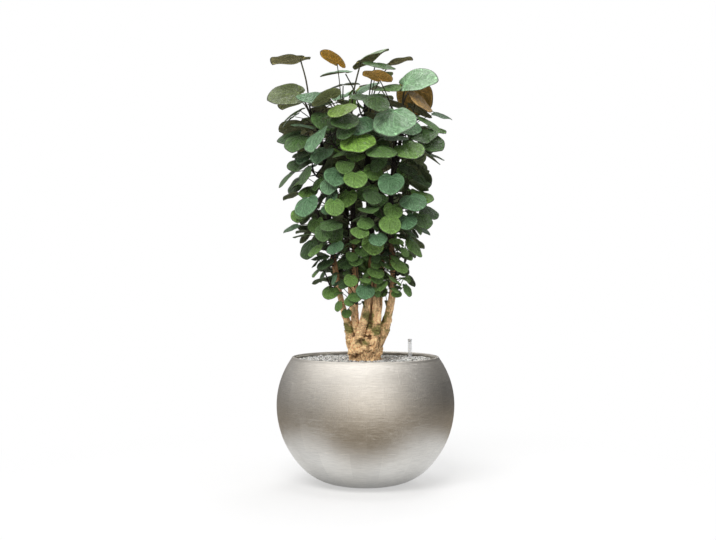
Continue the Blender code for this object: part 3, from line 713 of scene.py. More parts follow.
class Look:
    """The node tree of a material or a world, with short calls that add and join its nodes."""

    def __init__(self, owner):
        owner.use_nodes = True
        self.owner = owner
        self.tree = owner.node_tree

    def put(self, socket, value):
        if isinstance(value, Value):
            self.tree.links.new(value.socket, socket)
        elif isinstance(value, tuple) and socket.type == "RGBA":
            socket.default_value = (*value[:3], 1.0)
        else:
            socket.default_value = value

    def give(self, **values):
        """Sets the shader's sockets; an underscore stands for a space."""
        for name, value in values.items():
            self.put(self.tree.nodes["Principled BSDF"].inputs[name.replace("_", " ")], value)

    def node(self, kind, inputs=(), **settings):
        node = self.tree.nodes.new("ShaderNode" + kind)
        for name, value in settings.items():
            setattr(node, name, value)
        for key, value in dict(inputs).items():
            self.put(node.inputs[key], value)
        return node

    def value(self, kind, inputs=(), output=0, **settings):
        return Value(self, self.node(kind, inputs, **settings).outputs[output])

    def math(self, operation, *values):
        return self.value("Math", enumerate(values), operation=operation)

    def mix(self, share, first, second, blend_type="MIX"):
        return self.value("Mix", {0: share, 6: first, 7: second}, 2, data_type="RGBA", blend_type=blend_type)

    def span(self, value, low, high, to_low=0.0, to_high=1.0):
        """A smooth, clamped change from one range of values to another."""
        inputs = enumerate((value, low, high, to_low, to_high))
        return self.value("MapRange", inputs, interpolation_type="SMOOTHSTEP")

    def place(self, output="Object"):
        return self.value("TexCoord", (), output)

    def parts(self, vector):
        outputs = self.node("SeparateXYZ", {0: vector}).outputs
        return [Value(self, output) for output in outputs]

    def stretch(self, vector, scale):
        return self.value("Mapping", {"Vector": vector, "Scale": scale})

    def length(self, x, y):
        return self.math("SQRT", x * x + y * y)

    def ripple(self, value):
        return self.math("ABSOLUTE", self.math("SINE", value))

    def noise(self, vector, scale, detail=3.0, roughness=0.5):
        inputs = {"Vector": vector, "Scale": scale, "Detail": detail, "Roughness": roughness}
        return self.value("TexNoise", inputs)

    def cells(self, vector, scale, feature="DISTANCE_TO_EDGE", output=0):
        return self.value("TexVoronoi", {"Vector": vector, "Scale": scale}, output, feature=feature)

    def squares(self, vector, second, seam, seam_width=0.0, seam_blur=0.1):
        """Unit squares in a bond, black or of a second grey, with seams of a third grey."""
        inputs = {"Vector": vector, "Color1": (0.0,) * 3, "Color2": (second,) * 3, "Mortar": (seam,) * 3,
                  "Scale": 1.0, "Mortar Size": seam_width, "Mortar Smooth": seam_blur,
                  "Brick Width": 1.0, "Row Height": 1.0}
        return self.parts(self.value("TexBrick", inputs, "Color", offset=0.5))[0]

    def attribute(self, name, output="Color"):
        return self.value("Attribute", (), output, attribute_name=name)

    def ray(self, kind):
        """1 for rays of one kind, such as those of the camera, and 0 for the rest."""
        return self.value("LightPath", (), f"Is {kind} Ray")

    def shaded(self, tint, factor):
        """A colour made darker or lighter by a factor that may come from a node."""
        return self.mix(1.0, tint, self.value("CombineXYZ", {0: factor, 1: factor, 2: factor}), "MULTIPLY")

    def lay(self, share, tint, over):
        """A second colour laid over a first one; a number stands for the first one, shaded by it."""
        return self.mix(share, tint, over if isinstance(over, tuple) else self.shaded(tint, over))

    def bump(self, height, depth):
        return self.value("Bump", {"Height": height, "Distance": depth, "Strength": 1.0})


def new_look(name):
    return Look(bpy.data.materials.new(name))


# How strongly each pattern shows on the silver, and the level that they start from
STROKES = 0.66
HAIRS = 0.56
SQUARES = 0.085
SEAMS = 0.050
CLOUDS = 0.34
SILVER_LEVEL = 0.21
SEAM_WIDTH = 0.012
SEAM_BLUR = 0.6
BRUSH_DEPTH = 0.00045


def planter_look():
    """Silver leaf laid in squares over the ball, then brushed round it under satin lacquer."""
    look = new_look("brushed_silver_leaf")
    wrap = look.place("UV")
    square = look.squares(wrap, 1.0, 0.5)
    seam = look.squares(wrap, 0.0, 1.0, SEAM_WIDTH, SEAM_BLUR)
    strokes = look.noise(look.stretch(wrap, (0.7, 16.0, 1.0)), 3.0, 5.0, 0.65)
    hairs = look.noise(look.stretch(wrap, (1.2, 62.0, 1.0)), 3.0, 3.0, 0.6)
    clouds = look.noise(look.place(), 7.0, 4.0, 0.55)
    level = strokes * STROKES + hairs * HAIRS + square * SQUARES + seam * SEAMS + clouds * CLOUDS
    silver = look.mix(clouds, colour(235, 228, 217), colour(226, 223, 218))
    look.give(Base_Color=look.shaded(silver, level + SILVER_LEVEL), Metallic=1.0, Anisotropic=0.55,
              Roughness=strokes * 0.16 + square * 0.03 + 0.25,
              Tangent=look.value("Tangent", direction_type="RADIAL", axis="Z"),
              Normal=look.bump(seam * 0.25 + strokes + hairs, BRUSH_DEPTH))
    return look.owner


def pebble_look():
    look = new_look("pale_gravel")
    grain = look.noise(look.place(), 900.0, 4.0, 0.6)
    look.give(Base_Color=look.shaded(look.attribute("tint"), grain * 0.5 + 0.75), Roughness=0.85,
              Normal=look.bump(grain, 0.0006))
    return look.owner


def bed_look():
    """The gravel's body, seen only between the stones, with stones drawn on it that darken towards their
    edges as painted shade in the gaps.
    """
    look = new_look("gravel_bed")
    grey = look.parts(look.cells(look.place(), 190.0, "F1", 1))[0]
    edges = look.cells(look.place(), 190.0)
    tint = look.mix(grey, colour(150, 150, 146), colour(206, 206, 200))
    # Darker towards each cell's edge: painted shade in the gaps between the drawn stones
    look.give(Base_Color=look.shaded(tint, look.span(edges, 0.0, 0.12, 0.25, 1.0)), Roughness=0.9,
              Normal=look.bump(look.span(edges, 0.0, 0.3), 0.0015))
    return look.owner


def earth_look(name, dark, light, scale):
    look = new_look(name)
    crumbs = look.noise(look.place(), scale, 6.0, 0.7)
    clods = look.cells(look.place(), scale * 0.6)
    look.give(Base_Color=look.mix(look.span(crumbs, 0.3, 0.7), dark, light), Roughness=0.95,
              Normal=look.bump(crumbs + clods, 0.004))
    return look.owner


# Bark: its colour by the share of the way from the gravel into the crown; the almost black at the top is
# painted shade inside the crown
BARK_FROM_Z = 0.36
BARK_TO_Z = 0.86
BARK_STOPS = ((0.0, colour(252, 212, 160)), (0.24, colour(242, 200, 152)), (0.42, colour(192, 150, 108)),
              (0.58, colour(112, 86, 58)), (0.75, colour(42, 35, 30)), (1.0, colour(28, 24, 24)))
BLOTCH = (0.50, 0.36, 0.26)
MOSS_GREEN = colour(104, 116, 52)
CLEFT_SHADE_BROWN = colour(84, 54, 32)
PIT_SHADE_BROWN = colour(120, 80, 48)
BARK_DEPTH = 0.0034


def bark_look():
    """Tan cork at the foot, olive brown above it, and almost black inside the crown, where the black is
    painted shade.
    """
    look = new_look("corky_bark")
    place = look.place()
    height = look.noise(place, 16.0) * 0.10 + (look.parts(place)[2] - 0.05)
    # Up the stems the bark darkens to almost black inside the crown, which is painted shade
    ramp = look.node("ValToRGB", {"Fac": look.span(height, BARK_FROM_Z, BARK_TO_Z)})
    points = ramp.color_ramp.elements
    while len(points) < len(BARK_STOPS):
        points.new(0.5)
    for point, (at, tint) in zip(points, BARK_STOPS):
        point.position = at
        point.color = (*tint, 1.0)
    tint = Value(look, ramp.outputs["Color"])
    blotches = look.span(look.noise(place, 60.0, 4.0, 0.6), 0.42, 0.64)
    tint = look.mix(blotches * 0.36, tint, look.mix(1.0, tint, BLOTCH, "MULTIPLY"))
    streaks = look.span(look.noise(look.stretch(place, (150.0, 150.0, 40.0)), 1.0), 0.52, 0.62)
    tint = look.lay(streaks * 0.45, tint, 1.45)
    moss = look.span(look.noise(place, 27.0, 4.0, 0.65), 0.46, 0.60)
    band = look.span(height, 0.385, 0.415) * look.span(height, 0.46, 0.54, 1.0, 0.0)
    tint = look.lay(moss * band * 0.85, tint, MOSS_GREEN)
    relief_shading = look.attribute("relief_shading", "Fac")
    # Dark brown where the relief is deep, in cracks and between the limbs: painted shade
    tint = look.lay(look.span(relief_shading, 0.42, 1.0) * 0.80, tint, CLEFT_SHADE_BROWN)
    # Lighter where the relief lies open: painted highlight
    tint = look.lay(look.span(relief_shading, 0.34, 0.08) * 0.9, tint, 1.55)
    fibres = look.noise(look.stretch(place, (260.0, 260.0, 90.0)), 1.0, 5.0, 0.65)
    cork = look.noise(place, 210.0, 6.0, 0.72)
    low = look.span(height, 0.66, 0.50)
    # Darker brown in the cork's pits: painted shade
    tint = look.lay(look.span(cork, 0.47, 0.36) * low * 0.6, tint, PIT_SHADE_BROWN)
    # Paler on the cork's crests: painted highlight
    tint = look.lay(look.span(cork, 0.52, 0.64) * low * 0.85, tint, 1.6)
    look.give(Base_Color=tint, Roughness=0.88, Normal=look.bump(cork * 1.6 + fibres, BARK_DEPTH))
    return look.owner


def vein_pattern(look):
    """Seven veins that fan out from the stalk, a net of small ones, and the pads between them."""
    flat = look.place("UV")
    u, v, _ = look.parts(flat)
    x = u - 0.5
    y = v - (0.5 - HUB_SHARE / 2)
    reach = look.length(x, y)
    turn = look.math("ARCTAN2", x, y) + (look.noise(flat, 5.0, 2.0) - 0.5) * reach
    main = look.span(look.ripple(turn * (VEINS / 2)) * reach, 0.005, 0.050, 1.0, 0.0)
    fine = look.ripple(reach * 9.0 + turn * (VEINS * 1.5))
    ribs = look.span(fine, 0.05, 0.60, 1.0, 0.0) * look.span(reach, 0.06, 0.22)
    edges = look.cells(flat, 8.5)
    net = look.math("MAXIMUM", look.span(edges, 0.0, 0.090, 1.0, 0.0), ribs)
    return main, net, look.span(edges, 0.0, 0.50)


# Leaves: how strongly the veins show, how dark the margin is, and how deep the relief is
VEIN_SHARE = 0.95
NET_SHARE = 0.38
MARGIN_BROWN = colour(40, 36, 28)
LEAF_RELIEF = 0.0026


def leaf_look(name, tint_name, vein_light, rough, sheen, side):
    """One face of a blade: its own tint, mottled, with veins, a pale band of painted rim highlight and a
    thin dark margin.
    """
    look = new_look(name)
    main, net, pads = vein_pattern(look)
    mottle = look.noise(look.place(), 80.0, 4.0, 0.6)
    tint = look.shaded(look.attribute(tint_name), mottle * 0.60 + 0.70)
    tint = look.lay(look.span(look.noise(look.place(), 24.0, 2.0), 0.35, 0.65) * 0.45, tint, 0.60)
    tint = look.lay(look.math("MINIMUM", net * NET_SHARE + main * VEIN_SHARE, 1.0), tint, vein_light)
    reach = look.attribute("reach", "Fac")
    # A pale band just inside the margin: painted rim highlight
    tint = look.lay(look.span(reach, 0.86, 0.93, 0.0, 0.45), tint, 1.9)
    tint = look.lay(look.span(reach, 0.95, 0.985, 0.0, 0.85), tint, MARGIN_BROWN)
    height = pads * 0.40 + mottle * 0.9 - net * 0.3 - main * 0.5
    look.give(Base_Color=tint, Specular_IOR_Level=0.6, Sheen_Weight=sheen, Sheen_Roughness=0.35,
              Roughness=mottle * 0.22 + rough, Normal=look.bump(height * side, LEAF_RELIEF))
    return look.owner


def stalk_look():
    """Almost black at the stem, dark green towards the blade."""
    look = new_look("dark_stalk")
    specks = look.noise(look.place(), 320.0)
    share = look.span(look.attribute("reach", "Fac"), 0.2, 1.0)
    tint = look.mix(share, colour(34, 28, 24), colour(66, 64, 40))
    look.give(Base_Color=look.shaded(tint, specks * 0.8 + 0.6), Roughness=0.5,
              Normal=look.bump(specks, 0.0003))
    return look.owner


def clear_look():
    look = new_look("clear_gauge")
    haze = look.noise(look.place(), 140.0)
    look.give(Base_Color=colour(240, 242, 244), Alpha=0.25, Roughness=haze * 0.12 + 0.30,
              Normal=look.bump(haze, 0.0001))
    return look.owner


def plastic_look(name, tint, rough):
    look = new_look(name)
    grain = look.noise(look.place(), 700.0, 2.0)
    look.give(Base_Color=look.shaded(tint, grain * 0.10 + 0.95), Roughness=grain * 0.10 + rough,
              Normal=look.bump(grain, 0.00008))
    return look.owner


# Mesh building

WELD = 0.000005


class Surface:
    """Points, faces and what is painted on them, gathered for one piece."""

    def __init__(self):
        self.points = []
        self.faces = []
        self.slots = []
        self.uvs = []
        self.paint = {}
        self.count = 0

    def add(self, points, faces, slots, uvs=None, **paint):
        """Adds points and faces; each paint is one value for every point, or one value for all."""
        points = np.asarray(points, dtype=float)
        self.points.append(points)
        self.faces += [tuple(i + self.count for i in face) for face in faces]
        self.slots += slots if isinstance(slots, list) else [slots] * len(faces)
        self.uvs.append(np.zeros((len(points), 2)) if uvs is None else np.asarray(uvs, dtype=float))
        for name, value in paint.items():
            value = np.asarray(value, dtype=float)
            if value.ndim == 0 or value.shape[0] != len(points):
                value = np.tile(value, (len(points), 1) if value.ndim else len(points))
            self.paint.setdefault(name, []).append(value)
        self.count += len(points)

    def mesh(self, name, materials, sharp=60):
        mesh = bpy.data.meshes.new(name)
        mesh.from_pydata(np.concatenate(self.points).tolist(), [], self.faces)
        for material in materials:
            mesh.materials.append(material)
        mesh.polygons.foreach_set("material_index", self.slots)
        loops = np.zeros(len(mesh.loops), dtype=int)
        mesh.loops.foreach_get("vertex_index", loops)
        layer = mesh.uv_layers.new(name="flat")
        layer.uv.foreach_set("vector", np.concatenate(self.uvs)[loops].ravel())
        for key, values in self.paint.items():
            values = np.concatenate(values)
            if values.ndim == 2:
                rgba = np.concatenate([values, np.ones((len(values), 1))], axis=1)
                mesh.attributes.new(key, "FLOAT_COLOR", "POINT").data.foreach_set("color", rgba.ravel())
            else:
                mesh.attributes.new(key, "FLOAT", "POINT").data.foreach_set("value", values)
        mesh.shade_smooth()
        mesh.set_sharp_from_angle(angle=math.radians(sharp))
        return mesh


def place_object(name, data, place=(0.0, 0.0, 0.0)):
    obj = bpy.data.objects.new(name, data)
    obj.location = place
    bpy.context.scene.collection.objects.link(obj)
    return obj


def show(name, mesh, body="planted_pot", replaced=()):
    obj = place_object(name, mesh)
    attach(obj, body)
    if replaced:
        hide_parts(*replaced)


def lathe(profile, steps, wraps=1.0, row=1.0):
    """A turned surface: its points, faces and a flat map that runs round it and along its outline.

    The seam of the map is at the back, and a profile's ends on the axis are single points.
    """
    lengths = [0.0]
    for (r0, z0), (r1, z1) in zip(profile, profile[1:]):
        lengths.append(lengths[-1] + math.hypot(r1 - r0, z1 - z0))
    points = []
    uvs = []
    for (radius, z), length in zip(profile, lengths):
        for j in range(steps + 1):
            turn = math.pi / 2 + 2 * math.pi * j / steps
            points.append((radius * math.cos(turn), radius * math.sin(turn), z))
            uvs.append((wraps * j / steps, length / row))
    faces = []
    for i in range(len(profile) - 1):
        for j in range(steps):
            a = i * (steps + 1) + j
            b = a + steps + 1
            faces.append((a, a + 1, b + 1, b))
    return points, faces, uvs


def turned_mesh(name, profile, steps, material, wraps=1.0, row=1.0, sharp=60):
    """A turned piece, with its seam and its poles welded."""
    points, faces, uvs = lathe(profile, steps, wraps, row)
    surface = Surface()
    surface.add(points, faces, 0, uvs)
    mesh = surface.mesh(name, [material] if material else [], sharp)
    weld = bmesh.new()
    weld.from_mesh(mesh)
    bmesh.ops.remove_doubles(weld, verts=weld.verts, dist=WELD)
    bmesh.ops.recalc_face_normals(weld, faces=weld.faces)
    weld.to_mesh(mesh)
    weld.free()
    mesh.shade_smooth()
    mesh.set_sharp_from_angle(angle=math.radians(sharp))
    return mesh


def sweep(points, radii, sides):
    """A tube along points: its rings, its faces and the share of the way along it at each point."""
    rings = []
    faces = []
    shares = []
    side = None
    for i, point in enumerate(points):
        ahead = (points[min(i + 1, len(points) - 1)] - points[max(i - 1, 0)]).normalized()
        if side is None:
            side = ahead.orthogonal()
        side = (side - ahead * side.dot(ahead)).normalized()
        other = ahead.cross(side)
        for k in range(sides):
            turn = 2 * math.pi * k / sides
            rings.append(point + (side * math.cos(turn) + other * math.sin(turn)) * radii[i])
            shares.append(i / (len(points) - 1))
        if i:
            for k in range(sides):
                n = (k + 1) % sides
                base = (i - 1) * sides
                faces.append((base + k, base + n, base + sides + n, base + sides + k))
    faces.append(tuple(reversed(range(sides))))
    faces.append(tuple(range(len(rings) - sides, len(rings))))
    return rings, faces, shares


# Planter, gravel and what is under it

def base_fillet():
    """Radius of the arc that runs from the flat base into the sphere, tangent to both."""
    drop = POT_RADIUS - EQUATOR_Z
    return (POT_RADIUS + EQUATOR_Z - BASE_RADIUS ** 2 / drop) / 2


def arc(centre_radius, centre_z, reach_r, reach_z, first, last, steps):
    turns = [first + (last - first) * i / steps for i in range(steps + 1)]
    return [(centre_radius + reach_r * math.cos(t), centre_z + reach_z * math.sin(t)) for t in turns]


def wall_outline(inset):
    """From the lip down to the middle of the floor, in three arcs."""
    fillet = base_fillet()
    meet = math.atan2(EQUATOR_Z - fillet, BASE_RADIUS)
    lip_turn = math.asin((RIM_Z - WALL / 2 - EQUATOR_Z) / (SHOULDER_HEIGHT - inset))
    points = arc(0.0, EQUATOR_Z, POT_RADIUS - inset, SHOULDER_HEIGHT - inset, lip_turn, 0.0, 22)
    points += arc(0.0, EQUATOR_Z, POT_RADIUS - inset, POT_RADIUS - inset, 0.0, -meet, 26)[1:]
    points += arc(BASE_RADIUS, fillet, fillet - inset, fillet - inset, -meet, -math.pi / 2, 8)[1:]
    points.append((0.0, inset))
    return points


def make_planter():
    outside = wall_outline(0.0)
    inside = wall_outline(WALL)
    middle = (outside[0][0] + inside[0][0]) / 2
    half = (outside[0][0] - inside[0][0]) / 2
    lip = arc(middle, RIM_Z - WALL / 2, half, WALL / 2, 0.0, math.pi, 10)[1:-1]
    mesh = turned_mesh("planter_shell", outside[::-1] + lip + inside, POT_STEPS, planter_look(),
                       LEAF_METAL_WRAP, LEAF_METAL_ROW, sharp=80)
    show("planter_shell", mesh, replaced=["planter"])


def make_gravel():
    """Angular chippings on a jittered triangular grid, each turned and squashed its own way."""
    chance = np.random.default_rng(GRAVEL_SEED)
    pattern = bmesh.new()
    bmesh.ops.create_icosphere(pattern, subdivisions=1, radius=1.0)
    shape = np.array([vert.co for vert in pattern.verts])
    faces = [tuple(vert.index for vert in face.verts) for face in pattern.faces]
    pattern.free()
    surface = Surface()
    row_pitch = STONE_PITCH * ROW_SHARE
    rows = int(GRAVEL_REACH / row_pitch) + 1
    for row in range(-rows, rows + 1):
        for column in range(-rows, rows + 1):
            x = (column + 0.5 * (row % 2)) * STONE_PITCH + chance.normal(0, STONE_JITTER)
            y = row * row_pitch + chance.normal(0, STONE_JITTER)
            from_gauge = math.hypot(x - GAUGE_X, y - GAUGE_Y)
            if not GRAVEL_FROM < math.hypot(x, y) < GRAVEL_REACH or from_gauge < GAUGE_RADIUS + GAUGE_MARGIN:
                continue
            size = STONE_SIZE * chance.uniform(*STONE_SIZES) * chance.uniform(*STONE_SQUASH, 3)
            turn = Matrix.Rotation(chance.uniform(0, 6.28), 3, Vector(chance.normal(size=3)).normalized())
            stone = (shape + chance.uniform(-STONE_CHIP, STONE_CHIP, shape.shape)) * size @ np.array(turn)
            mound = MOUND_HEIGHT * noise.noise(Vector((x, y, 0.0)) * MOUND_SCALE)
            grey = chance.choice(STONE_GREYS, p=GREY_SHARES) * chance.uniform(0.85, 1.15)
            tint = (grey * chance.uniform(0.97, 1.04), grey, grey * chance.uniform(0.92, 1.0))
            place = (x, y, GRAVEL_Z - STONE_SINK + mound + chance.uniform(*STONE_HEIGHTS))
            surface.add(stone + place, faces, 0, tint=tint)
    show("gravel_stones", surface.mesh("gravel_stones", [pebble_look()], sharp=25))


def paint_hidden_nodes():
    """The bed under the stones, the soil and the roots keep their plain solids."""
    looks = {
        "top_gravel": bed_look(),
        "substrate": earth_look("potting_mix", colour(40, 30, 24), colour(92, 72, 54), 160.0),
        "root_ball": earth_look("matted_roots", colour(60, 44, 32), colour(128, 100, 72), 90.0),
    }
    for name, material in looks.items():
        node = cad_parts[name]
        node.data.materials.clear()
        node.data.materials.append(material)


# Water gauge

def make_gauge():
    """The clear tube, the cap in its mouth, and the float with its rod inside it."""
    (low, high), (cap_low, cap_high), (float_low, float_high) = (
        [corner[2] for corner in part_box(name)] for name in ("gauge_tube", "gauge_cap", "gauge_float"))
    tube = [(GAUGE_BORE, low), (GAUGE_RADIUS - TUBE_EDGE, low), (GAUGE_RADIUS, low + TUBE_EDGE),
            (GAUGE_RADIUS, high - TUBE_EDGE), (GAUGE_RADIUS - TUBE_EDGE, high), (GAUGE_BORE, high),
            (GAUGE_BORE, low)]
    plug = GAUGE_BORE - SEAT_GAP
    seat = high + SEAT_GAP
    flat = GAUGE_RADIUS - CAP_EDGE
    cap = [(0.0, cap_high), (flat, cap_high),
           *arc(flat, cap_high - CAP_EDGE, CAP_EDGE, CAP_EDGE, math.pi / 2, 0.0, 5)[1:],
           (GAUGE_RADIUS, seat), (plug, seat), (plug, cap_low), (0.0, cap_low)]
    body = GAUGE_BORE - 2 * SEAT_GAP
    mark = float_high - FLOAT_MARK
    neck = float_low + FLOAT_BODY
    rod = [(0.0, float_high), (body - FLOAT_EDGE, float_high), (body, float_high - FLOAT_EDGE), (body, mark),
           (ROD_RADIUS, mark), (ROD_RADIUS, neck), (body, neck), (body, float_low + FLOAT_EDGE),
           (body - FLOAT_EDGE, float_low), (0.0, float_low)]
    white = plastic_look("cap_plastic", CAP_WHITE, 0.35)
    red = plastic_look("float_plastic", FLOAT_RED, 0.4)
    for piece, node, slot, body_name, profile, material in (
            ("gauge_sleeve", "gauge_tube", "gauge_clear", "planted_pot", tube, clear_look()),
            ("gauge_lid", "gauge_cap", "gauge_cap", "planted_pot", cap, white),
            ("float_rod", "gauge_float", "gauge_float", "float", rod, red)):
        mesh = turned_mesh(piece, profile, GAUGE_STEPS, material, sharp=40)
        mesh.transform(Matrix.Translation((GAUGE_X, GAUGE_Y, 0.0)))
        show(piece, mesh, body_name, [node])


# Wood

VOXEL = 0.0016
CLEFT_ROUNDS = 90
CLEFT_DEPTH = 0.005
CLEFT_SINK = 0.003
WOOD_SEED = 21
SWIRL_SEED = 1
BURL_STEPS = 40
KNOBS = 40
KNOB_HEIGHTS = (0.340, 0.415)
KNOB_RADII = (0.004, 0.009)
KNOB_REACH = 0.038
KNOB_SPREAD = 0.006
LIMB_SIDES = 14
LIMB_STEPS = 14
SCARRED_STEPS = 60
STEM_SCAR = 0.10
SCARS = 17
LIMB_SWELL = 0.10
LINE_STEPS = 80

# How deep the bark's relief is: everywhere, more on the lower stems, and most on the stump
GRAIN_DEPTH = 0.0004
STEM_DEPTH = 0.0011
BURL_DEPTH = 0.0021

# How fine each pattern of the relief is, and how far the swirl bends the ridges and cracks
RIDGE_SCALE = 95
CRACK_SCALE = 62
CRACK_PATCH_SCALE = 30
LUMP_SCALE = 48
GRAIN_SCALE = 330
SWIRL_SCALE = 40
SWIRL_REACH = 0.006

# The stump's outline: radius and height
BURL_OUTLINE = ((0.0, 0.425), (0.020, 0.424), (0.036, 0.414), (0.045, 0.396), (0.044, 0.374),
                (0.039, GRAVEL_Z), (0.037, 0.330), (0.0, 0.330))

# Limbs that show on the stump: the radius at both ends, and a route
BURL_LIMBS = [
    (0.017, 0.013, [(-0.022, -0.008, 0.355), (-0.038, -0.008, 0.390), (-0.044, -0.004, 0.425),
                    (-0.050, 0.000, 0.455)]),
    (0.014, 0.011, [(-0.034, -0.026, 0.365), (-0.020, -0.036, 0.410), (0.000, -0.036, 0.475),
                    (0.009, -0.032, 0.530)]),
    (0.015, 0.012, [(0.016, -0.024, 0.370), (0.027, -0.032, 0.420), (0.031, -0.034, 0.465),
                    (0.026, -0.030, 0.530)]),
    (0.019, 0.014, [(0.020, -0.008, 0.360), (0.038, -0.008, 0.400), (0.052, -0.004, 0.430),
                    (0.062, 0.000, 0.465)]),
    (0.007, 0.006, [(-0.046, -0.018, 0.364), (-0.026, -0.040, 0.372), (0.002, -0.044, 0.388)]),
    (0.015, 0.012, [(0.000, 0.020, 0.360), (-0.018, 0.034, 0.410), (-0.030, 0.048, 0.455)]),
    (0.015, 0.012, [(0.006, 0.020, 0.360), (0.022, 0.034, 0.410), (0.034, 0.048, 0.455)]),
]


def add_limb(surface, route, first, last, bumps):
    """A tapering tube with leaf scars around it, and a slow swell along it."""
    count = SCARRED_STEPS if bumps else LIMB_STEPS
    points = []
    radii = []
    for i in range(count + 1):
        share = i / count
        scar = 1 + bumps * max(0.0, math.sin(2 * math.pi * share * SCARS)) ** 6
        swollen = 1 + LIMB_SWELL * noise.noise(Vector((share * 9, first * 900, 0)))
        points.append(along(route, share))
        radii.append((first + (last - first) * share ** 0.7) * scar * swollen)
    rings, faces, _ = sweep(points, radii, LIMB_SIDES)
    surface.add(rings, faces, 0)


def wood_cage(stems):
    """Overlapping closed shapes, which the remesh melts into one trunk."""
    surface = Surface()
    chance = random.Random(WOOD_SEED)
    burl = turned_mesh("burl", BURL_OUTLINE, BURL_STEPS, None)
    surface.add([vert.co for vert in burl.vertices], [tuple(face.vertices) for face in burl.polygons], 0)
    for stem in stems:
        add_limb(surface, stem.route, stem.foot_radius, stem.tip_radius, STEM_SCAR)
    for first, last, route in BURL_LIMBS:
        add_limb(surface, route, first, last, 0.0)
    for n in range(KNOBS):
        turn = chance.uniform(0, 2 * math.pi)
        z = chance.uniform(*KNOB_HEIGHTS)
        reach = KNOB_REACH + KNOB_SPREAD * smooth_share(z, 0.345, 0.385)
        centre = Vector((reach * math.cos(turn), reach * math.sin(turn), z))
        knob = bmesh.new()
        bmesh.ops.create_icosphere(knob, subdivisions=2, radius=chance.uniform(*KNOB_RADII))
        points = [vert.co + centre for vert in knob.verts]
        faces = [tuple(vert.index for vert in face.verts) for face in knob.faces]
        knob.free()
        surface.add(points, faces, 0)
    return surface.mesh("trunk", [])


def melt(mesh):
    """Voxel remesh of overlapping closed shapes into one skin."""
    obj = place_object("trunk", mesh)
    remesh = obj.modifiers.new("Melt", "REMESH")
    remesh.mode = "VOXEL"
    remesh.voxel_size = VOXEL
    smooth = obj.modifiers.new("Smooth", "SMOOTH")
    smooth.factor = 0.5
    smooth.iterations = 2
    bpy.context.view_layer.update()
    depsgraph = bpy.context.evaluated_depsgraph_get()
    skin = bpy.data.meshes.new_from_object(obj.evaluated_get(depsgraph))
    bpy.data.objects.remove(obj)
    return skin


def hollowness(skin, places, normals):
    """How far each point lies in a cleft between its surroundings: 0 in the open, 1 deep inside."""
    edges = np.empty(2 * len(skin.edges), dtype=int)
    skin.edges.foreach_get("vertices", edges)
    edges = edges.reshape(-1, 2)
    start = np.concatenate([edges[:, 0], edges[:, 1]])
    end = np.concatenate([edges[:, 1], edges[:, 0]])
    near = np.bincount(start, minlength=len(places))[:, None]
    smooth = places
    for _ in range(CLEFT_ROUNDS):
        sums = [np.bincount(start, smooth[end, axis], len(places)) for axis in range(3)]
        smooth = np.stack(sums, axis=1) / near
    depth = ((smooth - places) * normals).sum(axis=1)
    return np.clip(depth / CLEFT_DEPTH, 0, 1)


def carve(skin):
    """Cork ridges and fissures, deep on the stump and fine higher up; returns how deep each point lies,
    which the bark paints as shade in its hollows and as highlight where it lies open.
    """
    places = np.empty(3 * len(skin.vertices))
    normals = np.empty_like(places)
    skin.vertices.foreach_get("co", places)
    skin.vertices.foreach_get("normal", normals)
    places = places.reshape(-1, 3)
    normals = normals.reshape(-1, 3)
    clefts = hollowness(skin, places, normals)
    noise.seed_set(SWIRL_SEED)  # without a seed, noise_vector follows the clock
    shading_depths = []
    carved = places.copy()
    for i, (x, y, z) in enumerate(places):
        burl = 1 - smooth_share(z, 0.40, 0.46)
        low = 1 - smooth_share(z, 0.52, 0.72)
        p = Vector((x, y, z * (0.28 + 0.62 * burl)))
        swirl = p + noise.noise_vector(p * SWIRL_SCALE) * SWIRL_REACH
        ridge = 1 - 2.2 * abs(noise.noise(swirl * RIDGE_SCALE))
        lump = noise.noise(p * LUMP_SCALE + Vector((3.1, 0, 0)))
        crack = max(0.0, 1 - 5 * abs(noise.noise(swirl * CRACK_SCALE + Vector((0, 7.7, 0)))))
        patch = noise.noise(p * CRACK_PATCH_SCALE + Vector((5.5, 0, 0)))
        crack *= 0.35 + 0.65 * smooth_share(patch, -0.1, 0.3)
        grain = noise.noise(Vector((x, y, z * 0.25)) * GRAIN_SCALE)
        size = GRAIN_DEPTH + STEM_DEPTH * low + BURL_DEPTH * burl
        height = 0.55 * ridge + 0.9 * lump + 0.5 * grain - 0.7 * crack - 0.2
        # How deep a point lies in the relief, its cracks and the clefts between limbs, for the painted shade
        # and highlight on the bark
        shading_depths.append(min(max(0.28 - 0.45 * height + 0.20 * crack + 0.8 * clefts[i], 0.0), 1.0))
        carved[i] += normals[i] * (size * height - CLEFT_SINK * clefts[i] * low)
    skin.vertices.foreach_set("co", carved.ravel())
    skin.update()
    return shading_depths


